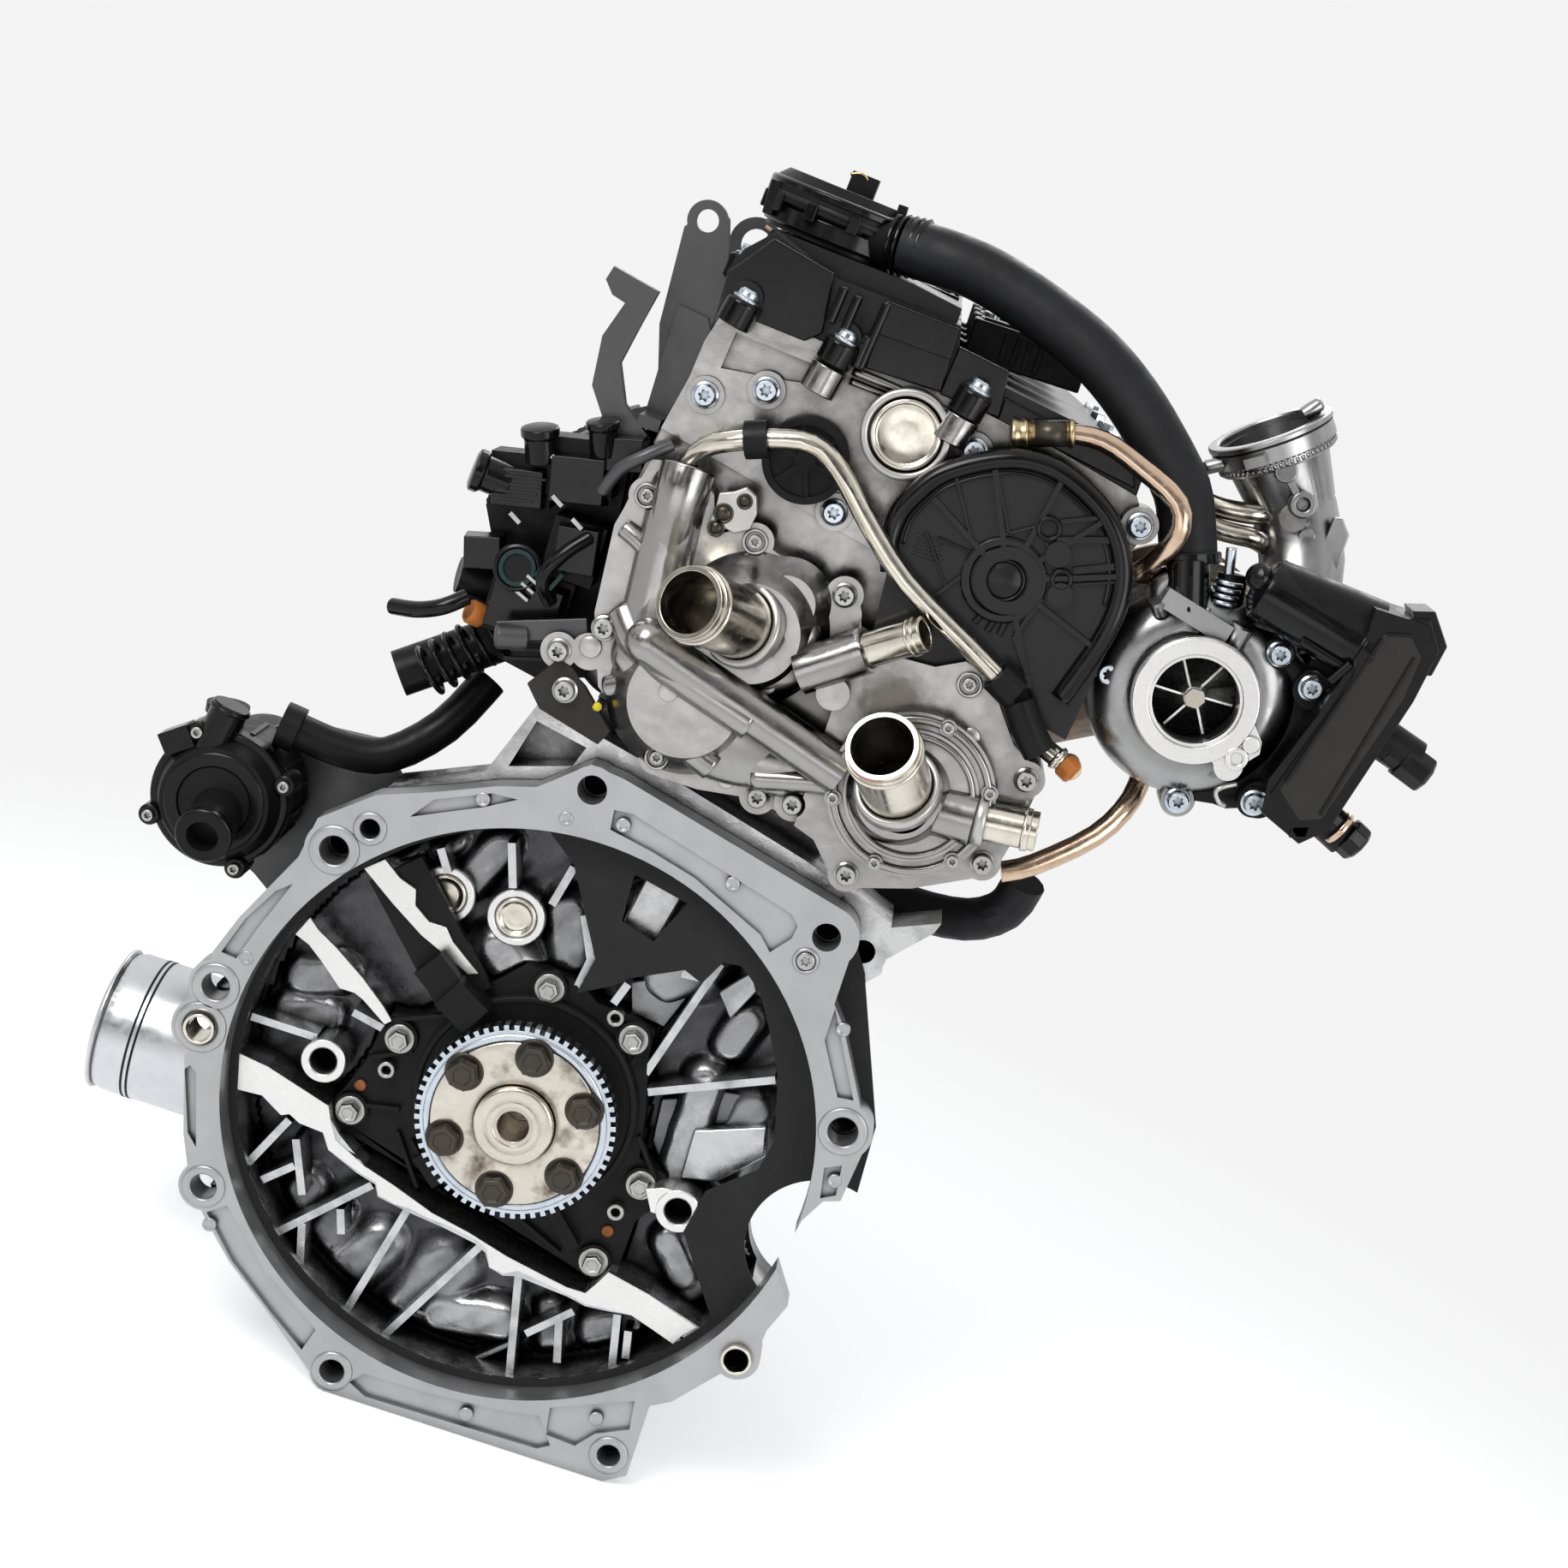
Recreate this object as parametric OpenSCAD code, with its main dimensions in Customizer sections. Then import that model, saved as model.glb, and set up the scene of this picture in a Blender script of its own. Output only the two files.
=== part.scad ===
// Small four-cylinder turbocharged petrol engine, seen from its gearbox end.
// Origin: crankshaft axis at the gearbox face of the flange ring.
// +X turbocharger side, +Y towards the timing belt, +Z up. Millimetres.

/* [Crank train] */
// Cylinder bore diameter
bore_d = 74.5; // [70:0.5:76]
// Piston stroke
stroke = 80; // [74:1:80]
// Connecting rod length between centres
rod_length = 140; // [136:1:144]
// Distance between neighbouring cylinders
bore_pitch = 82; // [80:1:86]
// Cylinder lean towards the turbocharger, degrees
lean = 12; // [8:1:14]
// Main bearing journal radius
main_r = 24; // [22:0.5:25]
// Crank pin radius
pin_r = 19; // [18:0.5:20]
// Radial clearance of plain bearings
bearing_gap = 0.05; // [0.02:0.01:0.08]

/* [Gearbox end] */
// Radius of the clutch opening in the flange ring
bell_r = 150; // [148:1:152]
// Thickness of the flange ring
ring_t = 16; // [12:1:18]
// Thickness of the sheet steel back plate
plate_t = 1.5; // [1:0.5:2]
// Level of the lowest surfaces that the engine rests on
base_z = -172; // [-176:1:-170]
// Pitch circle diameter of the six flywheel bolts
flywheel_pcd = 72; // [68:1:76]
// Radius of the crankshaft pilot bore
pilot_r = 8; // [6:0.5:10]

/* [Block and head] */
// Deck height above the crank axis, along the cylinders
deck_z = 208; // [206:1:212]
// Depth of the pan joint below the crank axis
pan_joint = 65; // [62:1:68]
// Far end face of the block
block_end = 400; // [400:1:404]
// Height of the joint between head and cam housing
cam_joint = 334; // [332:1:336]
// Height of both camshaft axes
cam_z = 356; // [354:1:358]
// Camshaft journal radius
cam_r = 15; // [13:0.5:16]

/* [Turbocharger] */
// Radius of the compressor inlet bore
inlet_r = 20.5; // [18:0.5:22]
// Outer radius of the bright inlet ring
inlet_ring_r = 30.5; // [28:0.5:32]
// Compressor wheel radius at the inlet
inducer_r = 19.5; // [17:0.5:19.5]

/* [Hoses and pipes] */
// Breather hose outer radius
breather_r = 14; // [12:0.5:15]
// Steel coolant pipe outer radius
coolant_pipe_r = 5; // [4:0.5:6]
// Outer radius of the large coolant necks
neck_r = 17; // [15:0.5:18]
// Oil filter can radius
filter_r = 38; // [34:1:40]

/* [Hidden] */
$fn = 48;

// Materials' preview colours
cast_c = [0.72, 0.73, 0.75];
steel_c = [0.62, 0.60, 0.56];
black_c = [0.10, 0.10, 0.11];
rubber_c = [0.06, 0.06, 0.06];
iron_c = [0.35, 0.31, 0.28];
nickel_c = [0.60, 0.55, 0.45];

// Stations along the crank axis
joint_y = ring_t + plate_t;
wall_y = 44;
wall_t = 12;
bore_ys = [for (i = [0:3]) 104 + bore_pitch * i];
main_ys = [for (i = [0:4]) 104 + bore_pitch * (i - 0.5)];
head_y = 22;
head_end = 396;

// Crank train: the throws lie level at rest, the outer pair towards +X
throw = stroke / 2;
sides = [1, -1, -1, 1];
pin_z = sqrt(rod_length * rod_length - throw * throw);
pin_w = 22;
web_t = 14;
bearing_w = 20;

// Camshaft axes, in the leaning frame
intake_x = -37;
exhaust_x = 73;
crank_sprocket_r = 22;
cam_sprocket_r = 2 * crank_sprocket_r;
belt_t = 3;
belt_y0 = 409;
belt_y1 = 427;
timing_end = 436;

// Coolant pump drive
pump = [134, 224];
pump_pulley_r = 24;
cam_pulley_r = 40;
pump_belt_y0 = 8;
pump_belt_y1 = 18;

// Turbocharger axis
turbo = [248, 306];

// Points in the leaning frame turned into the engine frame
function row(p) = [p[0] * cos(lean) + p[1] * sin(lean),
                   p[1] * cos(lean) - p[0] * sin(lean)];
exhaust_cam = row([exhaust_x, cam_z]);
intake_cam = row([intake_x, cam_z]);

// Flange holes: x, z, hole radius, lug radius
flange_holes = [
    [-12, 174, 7.3, 12], [-124, 105, 7.3, 15], [-110, 121, 4.9, 9],
    [-162, 19, 7, 14], [-164, -4, 7.9, 15], [-141, -85, 6.7, 13],
    [-52, -160, 6.4, 12], [96, -157, 5.9, 12], [142, -84, 7.9, 12],
    [156, 48, 7.5, 15], [118, 140, 7.1, 16]];
dowel_holes = [[-164, -4], [142, -84]];
dowel_r = 7.9;

// Outer edge of the flange ring, clockwise from the left dowel
ring_outline = [
    [-168, -21], [-168, 36], [-160, 57], [-140, 96], [-136, 118],
    [-112, 138], [-84, 149], [-57, 161], [-38, 167], [-16, 186], [2, 184],
    [62, 170], [120, 156], [132, 140], [132, 109], [140, 99], [159, 65],
    [169, 44], [166, 13], [158, 10], [151, -3], [146, -31], [150, -37],
    [158, -49], [152, -65], [150, -92], [137, -95], [118, -118],
    [108, -124], [108, -165], [97, base_z], [-54, base_z], [-67, -161],
    [-92, -140], [-118, -120], [-138, -99], [-152, -76], [-158, -61]];

// Milled strip where block and upper pan meet below the crank
joint_outline = [
    [-152, -17], [-129, -20], [-115, -24], [-94, -30], [-91, -37], [-85, -43], [-68, -55], [-51, -60],
    [-28, -68], [-7, -72], [15, -78], [37, -82], [49, -84], [59, -84], [64, -75], [67, -69], [91, -74],
    [128, -85], [124, -97], [110, -96], [98, -92], [85, -88], [71, -90], [61, -91], [51, -89], [38, -88],
    [23, -87], [16, -89], [8, -87], [4, -80], [-2, -77], [-20, -74], [-39, -72], [-57, -69], [-60, -63],
    [-71, -60], [-88, -53], [-93, -45], [-106, -44], [-112, -41], [-116, -43], [-128, -36], [-148, -37]];
// Outer edge of the machined joint face of block and pan
face_outline = [
    [-164, -21], [-166, 34], [-138, 96], [-110, 138], [-68, 157],
    [-51, 202], [-20, 197], [13, 190], [97, 169], [147, 152], [150, 126],
    [134, 108], [158, 62], [164, 44], [160, 10], [150, -3], [144, -31],
    [156, -52], [148, -90], [116, -118], [106, -124], [106, -160],
    [96, base_z + 3], [-54, base_z + 3], [-90, -140], [-116, -120],
    [-136, -99], [-150, -76], [-156, -61]];
bell_in_r = 146;
notch = [164, -22];
notch_r = 37;

// Right-hand edge of the window in the back plate
plate_window = [
    [-27, 143], [-11, 131], [-1, 113], [13, 88], [9, 68], [26, 78],
    [32, 84], [57, 97], [67, 93], [74, 107], [83, 108], [95, 99],
    [105, 83], [117, 60], [126, 27], [123, 9], [101, -11], [97, -35],
    [110, -55], [124, -75]];

// Outline of the coolant module, clockwise from its upper left corner
module_outline = [
    [-31, 335], [-17, 338], [-5, 334], [2, 328], [8, 310], [20, 318],
    [33, 313], [52, 306], [69, 302], [79, 307], [85, 297], [94, 271],
    [107, 283], [126, 284], [139, 291], [152, 287], [173, 260],
    [184, 254], [191, 245], [188, 218], [184, 198], [177, 193],
    [149, 178], [115, 167], [108, 174], [97, 186], [82, 191], [62, 194],
    [36, 190], [16, 190], [-3, 209], [-24, 223], [-36, 257], [-39, 300]];
module_split_x = 92;

// Bolt places on the coolant module: x, z, front face y
module_bolt_at = [
    [-28, 318, 2], [27, 313, 2], [75, 302, 2], [-47, 234, 2],
    [-33, 238, 2], [13, 199, 2], [65, 196, 2], [144, 281, -6],
    [184, 246, -6], [117, 175, -6], [177, 201, -6], [82, 199, -2]];
seal_bolt_at = [[-5, 63], [43, 51], [-70, 13], [-84, -32], [69, -22], [58, -70]];
housing_bolt_at = [[-17, 370, 16], [10, 381, 16], [58, 336, 16], [112, 384, 14], [197, 375, 10]];

// ---------- helpers ----------

// Extrudes a profile drawn in x and z from y0 to y1
module prism(y0, y1) {
    translate([0, y1, 0]) rotate([90, 0, 0]) linear_extrude(height = y1 - y0) children();
}

// Turns what is drawn upright into the cylinders' lean
module leaning() {
    rotate([0, lean, 0]) children();
}

// Turns an upright profile into the lean, for use inside prism
module lean2d() {
    rotate(-lean) children();
}

// Cylinder along +Y around the point p = [x, z]
module rod_y(p, r, y0, y1) {
    translate([p[0], y0, p[1]]) rotate([-90, 0, 0]) cylinder(r = r, h = y1 - y0);
}

// Cone frustum along +Y
module cone_y(p, r0, r1, y0, y1) {
    translate([p[0], y0, p[1]]) rotate([-90, 0, 0]) cylinder(r1 = r0, r2 = r1, h = y1 - y0);
}

// Moves children to a and points their +Z at b
module aim(a, b) {
    d = b - a;
    translate(a) rotate([0, acos(d[2] / norm(d)), atan2(d[1], d[0])]) children();
}

// Straight round bar from a to b
module bar(a, b, r) {
    aim(a, b) cylinder(r = r, h = norm(b - a));
}

// Smooth curve through a list of points, with steps places between two of them
function curve_at(p, i, t) = let(
    a = p[max(i - 1, 0)], b = p[i], c = p[i + 1], d = p[min(i + 2, len(p) - 1)])
    (2 * b + (c - a) * t + (2 * a - 5 * b + 4 * c - d) * t * t + (3 * b - a - 3 * c + d) * t * t * t) / 2;
function smooth(p, steps) = concat(
    [for (i = [0:len(p) - 2]) for (j = [0:steps - 1]) curve_at(p, i, j / steps)], [p[len(p) - 1]]);
function unit(v) = v / norm(v);
function ring_at(q, i, r, sides) = let(
    t = unit(q[min(i + 1, len(q) - 1)] - q[max(i - 1, 0)]), n = unit(cross(t, [0, 1, 0])), b = cross(t, n))
    [for (s = [0:sides - 1]) q[i] + r * (cos(s * 360 / sides) * n + sin(s * 360 / sides) * b)];

// Bent tube of radius r on a smooth curve through the points
module sweep(points, r, sides = 14, steps = 3) {
    q = smooth(points, steps);
    last = len(q) - 1;
    polyhedron(
        points = [for (i = [0:last]) each ring_at(q, i, r, sides)],
        faces = concat(
            [[for (s = [0:sides - 1]) s], [for (s = [sides - 1:-1:0]) last * sides + s]],
            [for (i = [0:last - 1]) for (s = [0:sides - 1])
                [i * sides + s, (i + 1) * sides + s,
                 (i + 1) * sides + (s + 1) % sides, i * sides + (s + 1) % sides]]));
}

// Flat strip between two points of a profile
module strip2d(a, b, w) {
    d = b - a;
    translate(a) rotate(atan2(d[1], d[0])) translate([0, -w / 2]) square([norm(d), w]);
}

// Half-plane above the pan joint, as a profile
module above_joint2d() {
    lean2d() translate([-400, -pan_joint]) square([800, 900]);
}

// Two discs and the tangents between them
module disc_pair(c1, r1, c2, r2, y0, y1) {
    d = c2 - c1;
    a = atan2(d[1], d[0]);
    t = acos((r1 - r2) / norm(d));
    p = [for (s = [t, -t]) [cos(a + s), sin(a + s)]];
    // the web is a hair inside the discs, so that no face ends on a tangent
    hair = 0.05;
    rod_y(c1, r1, y0, y1);
    rod_y(c2, r2, y0, y1);
    prism(y0, y1) polygon([c1 + (r1 - hair) * p[0], c2 + (r2 - hair) * p[0],
        c2 + (r2 - hair) * p[1], c1 + (r1 - hair) * p[1]]);
}

// Hexagon-flange bolt whose head sits on the plane y, pointing to -Y
module flange_bolt(p, y, r) {
    rod_y(p, r * 1.25, y - r * 0.35, y);
    translate([p[0], y - r * 1.15, p[1]]) rotate([-90, 0, 0]) cylinder(r = r, h = r * 0.9, $fn = 6);
}

// Round socket-head bolt whose head sits on the plane y
module socket_bolt(p, y, r) {
    difference() {
        rod_y(p, r, y - r * 0.9, y);
        translate([p[0], y - r * 0.9 - 1, p[1]])
            rotate([-90, 0, 0]) cylinder(r = r * 0.5, h = r * 0.5 + 1, $fn = 6);
    }
}

// ---------- gearbox end ----------

module gearbox_flange_ring() {
    pocket_depth = 3;
    color(cast_c) difference() {
        union() {
            prism(0, ring_t) polygon(ring_outline);
            for (h = flange_holes) rod_y(h, h[3], 0, ring_t);
        }
        rod_y([0, 0], bell_r, -1, ring_t + 1, $fn = 96);
        for (h = flange_holes) rod_y(h, h[2], -1, ring_t + 1);
        prism(-1, pocket_depth) polygon([[2, 158], [1, 168], [10, 169], [98, 146], [103, 141],
            [102, 134], [94, 124], [87, 131], [48, 148], [24, 154]]);
        prism(-1, pocket_depth) polygon([[133, 90], [133, 107], [150, 76], [156, 65], [148, 64]]);
        prism(-1, pocket_depth) polygon([[153, 27], [161, 31], [163, 15], [156, 11]]);
        prism(-1, pocket_depth) polygon([[60, -142], [86, -130], [100, -124], [102, -140],
            [86, -148], [78, -158], [62, -157]]);
        prism(-1, pocket_depth) polygon([[-36, -156], [-42, -163], [-32, -168], [60, -166], [66, -162],
            [56, -148], [36, -152], [0, -155]]);
        prism(-1, pocket_depth) polygon([[-164, -25], [-160, -28], [-153, -55], [-150, -66],
            [-156, -60], [-166, -28]]);
        prism(-1, pocket_depth) polygon([[-136, -98], [-127, -91], [-100, -118], [-66, -141],
            [-70, -154], [-90, -140], [-117, -119]]);
        prism(-1, pocket_depth) polygon([[-93, 133], [-84, 145], [-58, 157], [-45, 158], [-60, 149]]);
        prism(-1, pocket_depth) polygon([[-164, 37], [-157, 57], [-146, 76], [-139, 82],
            [-150, 54], [-156, 36]]);
    }
}

module plate_window2d() {
    polygon(concat(plate_window, [for (a = [-33:-6:-255]) bell_in_r * [cos(a), sin(a)]]));
}

module bell_back_plate() {
    color(black_c) difference() {
        union() {
            prism(ring_t, joint_y) polygon(ring_outline);
            for (h = flange_holes) rod_y(h, h[3] - 1, ring_t, joint_y);
            prism(ring_t, joint_y) polygon([[120, 158], [142, 124], [172, 50], [174, 12], [150, 10],
                [110, 100]]);
            prism(ring_t, joint_y) polygon([[140, 10], [174, 12], [158, -49], [130, -70]]);
        }
        prism(ring_t - 1, joint_y + 1) plate_window2d();
        rod_y(notch, notch_r, ring_t - 1, joint_y + 1);
        prism(ring_t - 1, joint_y + 1) polygon([[19, 136], [48, 130], [38, 106], [20, 111]]);
        for (h = flange_holes) rod_y(h, h[2] + 0.5, ring_t - 1, joint_y + 1);
    }
}

module dowel_sleeves() {
    color(nickel_c) for (p = dowel_holes) difference() {
        rod_y(p, dowel_r, -4, ring_t);
        rod_y(p, dowel_r - 1.6, -5, ring_t + 1);
    }
}

module seal_flange2d() {
    polygon([[-20, 70], [8, 70], [20, 62], [38, 61], [52, 57], [53, 44], [60, 14], [64, -10],
        [80, -15], [80, -30], [72, -44], [71, -76], [62, -82], [-92, -44], [-96, -34], [-90, -22],
        [-84, -6], [-82, 8], [-78, 22], [-64, 25], [-44, 44]]);
}

module rear_seal_flange() {
    seal_r = 40;
    color(black_c) difference() {
        union() {
            prism(30, wall_y) seal_flange2d();
            rod_y([0, 0], 58, 26, 32);
            for (p = seal_bolt_at) rod_y(p, 9, 26, 31);
            prism(24, 31) strip2d([20, -40], [46, -66], 7);
            prism(24, 31) strip2d([-44, -44], [-30, -56], 7);
        }
        rod_y([0, 0], seal_r, 20, wall_y + 1);
    }
}

// Room for the seal flange in the walls and ribs behind it
module seal_flange_space() {
    prism(20, wall_y) seal_flange2d();
    rod_y([0, 0], 58.2, 20, wall_y);
}

module seal_flange_bolts() {
    color(steel_c) {
        for (p = seal_bolt_at) flange_bolt(p, 26, 5.5);
        for (p = [[31, 59], [-72, -5], [61, -40]]) difference() {
            rod_y(p, 4.5, 24, 30);
            rod_y(p, 2.2, 23, 27);
        }
        rod_y([68, -56], 4, 27, 30);
    }
}

module crank_sensor() {
    color(black_c) {
        prism(8, 24) strip2d([-52, 50], [-34, 24 + 16], 18);
        prism(24, 29) strip2d([-96, 98], [-44, 44], 30);
        prism(12, 29) strip2d([-66, 60], [-44, 44], 17);
    }
}

module core_plugs() {
    color(nickel_c) {
        for (p = [[-69, 91], [-32, 91]]) rod_y(p, 10.5, 30, 36);
        difference() {
            rod_y([79, 382], 17, 8, 24);
            rod_y([79, 382], 14, 7, 10);
        }
    }
}

module sensor_wheel() {
    teeth = 60;
    tip_r = 50.6;
    color([0.60, 0.63, 0.66]) difference() {
        union() {
            rod_y([0, 0], tip_r - 2.6, -2.5, 0);
            prism(-2.5, 6) difference() {
                circle(r = tip_r, $fn = 96);
                circle(r = tip_r - 5);
                for (i = [0:teeth - 1]) rotate(i * 360 / teeth)
                    translate([tip_r - 2.6, -1.3]) square([4, 2.6]);
            }
        }
        rod_y([0, 0], 20.2, -4, 1);
        for (i = [0:5]) rotate([0, i * 60 + 30, 0]) rod_y([flywheel_pcd / 2, 0], 5.4, -4, 1);
    }
}

module crank_bolts() {
    color([0.25, 0.23, 0.20]) for (i = [0:5]) rotate([0, i * 60 + 30, 0]) {
        flange_bolt([flywheel_pcd / 2, 0], -2.5, 8);
        rod_y([flywheel_pcd / 2, 0], 5, -2.5, 9);
    }
}

// ---------- block and crank train ----------

module block_profile2d() {
    lean2d() polygon([[-92, -pan_joint], [-92, 0], [-84, 26], [-72, 56], [-64, 92], [-64, deck_z],
        [64, deck_z], [64, 92], [72, 56], [84, 26], [92, 0], [95, -pan_joint]]);
}

// Stiffening ribs on the wall behind the clutch
module wall_ribs2d() {
    for (s = [[[58, 28], [117, 55]], [[54, 37], [73, 104]], [[28, 67], [32, 79]], [[56, 93], [68, 94]],
              [[-44, 130], [-37, 108]], [[-77, 116], [-70, 105]], [[-11, 128], [-16, 106]],
              [[1, 106], [11, 84]], [[11, 88], [8, 67]], [[-145, 1], [-110, 1]], [[-96, 20], [-76, 16]]])
        strip2d(s[0], s[1], 4);
}

module cylinder_block() {
    color(cast_c) difference() {
        union() {
            prism(wall_y, block_end) block_profile2d();
            // rim and rear wall of the clutch recess
            prism(joint_y, wall_y + wall_t) intersection() {
                difference() {
                    polygon(face_outline);
                    circle(r = bell_in_r, $fn = 96);
                }
                above_joint2d();
            }
            prism(wall_y, wall_y + wall_t) intersection() {
                polygon(face_outline);
                above_joint2d();
            }
            prism(22, wall_y + 1) intersection() {
                wall_ribs2d();
                circle(r = bell_in_r + 1);
            }
            // core plug bosses, starter lug and machined joint strip
            for (p = [[-69, 91], [-32, 91]]) rod_y(p, 15, 32, wall_y + 1);
            for (p = [[-103, -8], [91, -26]]) rod_y(p, 11.5, joint_y, wall_y + 1);
            prism(joint_y, wall_y + 1) intersection() {
                polygon(joint_outline);
                circle(r = bell_in_r + 1);
                above_joint2d();
            }
            // side lug beyond the flange and cast bosses on the intake side
            rod_y([138, 134], 12, joint_y, wall_y);
            prism(joint_y, wall_y) polygon([[120, 158], [147, 150], [170, 160], [168, 154], [150, 134]]);
            leaning() for (y = bore_ys) translate([-76, y, 120]) rotate([0, 90, 0]) cylinder(r = 14, h = 20);
        }
        seal_flange_space();
        // cut-outs in the joint face's upper left gusset
        prism(joint_y - 1, 36) polygon([[-56, 168], [-49, 194], [-22, 189], [-26, 178]]);
        leaning() for (y = bore_ys) {
            translate([0, y, 30]) cylinder(r = bore_d / 2, h = deck_z);
            translate([-74, y - 29, -pan_joint - 1]) cube([148, 58, pan_joint + 15]);
        }
        for (y = bore_ys) rod_y([0, 0], 74, y - 28.5, y + 28.5);
        // coolant jacket, open at the deck
        leaning() difference() {
            for (y = bore_ys) translate([0, y, 120]) cylinder(r = 52, h = deck_z);
            for (y = bore_ys) translate([0, y, 110]) cylinder(r = 44, h = deck_z);
        }
        rod_y([0, 0], main_r + bearing_gap, wall_y - 2, block_end + 1);
        rod_y([0, 0], 40, wall_y - 2, wall_y + 9);
        leaning() translate([-42.2, wall_y + 9, -pan_joint - 1]) cube([84.4, block_end, pan_joint + 1.4]);
        for (p = [[-69, 91], [-32, 91]]) rod_y(p, 10.5, 30, 36);
        for (p = [[-103, -8], [91, -26]]) rod_y(p, 7, joint_y - 1, 40);
        rod_y([138, 134], 6, joint_y - 1, wall_y + 1);
        for (h = flange_holes) rod_y(h, h[2] - 1, joint_y - 1, 40);
        prism(joint_y - 1, wall_y + wall_t + 1) translate(notch) circle(r = notch_r);
    }
}

module main_bearing_caps() {
    color(iron_c) difference() {
        leaning() for (y = main_ys) translate([-42, y - bearing_w / 2, -46]) cube([84, bearing_w, 46]);
        rod_y([0, 0], main_r + bearing_gap, 0, block_end + 10);
    }
}

// One crank web: cheek around the pin, counterweight on the other side
module web2d(side) {
    lean2d() {
        translate([side * throw, 0]) circle(r = 26);
        translate([side > 0 ? 0 : -throw, -24]) square([throw, 48]);
        circle(r = 32);
        intersection() {
            circle(r = 60);
            translate([side > 0 ? -62 : 14, -62]) square([48, 124]);
        }
        translate([side > 0 ? -20 : 0, -30]) square([20, 60]);
    }
}

module crankshaft() {
    color(steel_c) difference() {
        union() {
            rod_y([0, 0], 20, -8, 0);
            rod_y([0, 0], 43, 0, 14);
            rod_y([0, 0], 38, 14, wall_y + 2);
            rod_y([0, 0], main_r, wall_y + 2, belt_y0);
            for (i = [0:3]) {
                c = row([sides[i] * throw, 0]);
                rod_y(c, pin_r, bore_ys[i] - pin_w / 2 - 1, bore_ys[i] + pin_w / 2 + 1);
                for (s = [-1, 1]) {
                    y = bore_ys[i] + s * (pin_w + web_t) / 2;
                    prism(y - web_t / 2, y + web_t / 2) web2d(sides[i]);
                }
            }
            rod_y([0, 0], crank_sprocket_r, belt_y0 - 2, belt_y1 + 2);
            rod_y([0, 0], 16, belt_y1, timing_end + 20);
        }
        // the main journal is cut away where the rods swing past it
        for (y = bore_ys) rod_y([0, 0], main_r + 1, y - pin_w / 2, y + pin_w / 2);
        rod_y([0, 0], pilot_r, -9, 24);
        for (i = [0:5]) rotate([0, i * 60 + 30, 0]) rod_y([flywheel_pcd / 2, 0], 5, -1, 10);
    }
    color(steel_c) for (i = [0:3])
        rod_y(row([sides[i] * throw, 0]), pin_r, bore_ys[i] - pin_w / 2 - 1, bore_ys[i] + pin_w / 2 + 1);
}

module crank_pulley() {
    color(black_c) translate([0, timing_end + 4, 0]) rotate([-90, 0, 0]) rotate_extrude($fn = 96)
        polygon(concat([[16.1, 0], [26, 0], [26, 6], [56, 6], [56, 2], [70, 2]],
            [for (i = [0:5]) for (q = [[70, 2.5 + i * 3.6], [67, 4.3 + i * 3.6]]) q],
            [[70, 26], [58, 26], [56, 14], [34, 14], [30, 22], [16.1, 22]]));
}

module wrist_pins() {
    color(steel_c) for (y = bore_ys) rod_y(row([0, pin_z]), 10, y - 30, y + 30);
}

module pistons() {
    crown = 28;
    color([0.78, 0.78, 0.80]) difference() {
        leaning() for (y = bore_ys) translate([0, y, pin_z - 22]) difference() {
            cylinder(r = bore_d / 2 - bearing_gap, h = 22 + crown);
            translate([0, 0, -1]) cylinder(r = bore_d / 2 - 7, h = 40);
        }
        for (y = bore_ys) rod_y(row([0, pin_z]), 10 + bearing_gap, y - 40, y + 40);
    }
    color([0.78, 0.78, 0.80]) leaning() for (y = bore_ys) for (s = [-1, 1]) difference() {
        translate([-14, y + s * 20 - 7, pin_z - 14]) cube([28, 14, 32]);
        translate([0, y - 40, pin_z]) rotate([-90, 0, 0]) cylinder(r = 10 + bearing_gap, h = 80);
    }
}

// ---------- oil pan ----------

module pan_profile2d(inset) {
    a = row([-92 + inset, -pan_joint]);
    b = row([95 - inset, -pan_joint]);
    polygon([a, b, [78 - inset, -132 - inset], [-84 + inset, -132 - inset]]);
}

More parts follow.
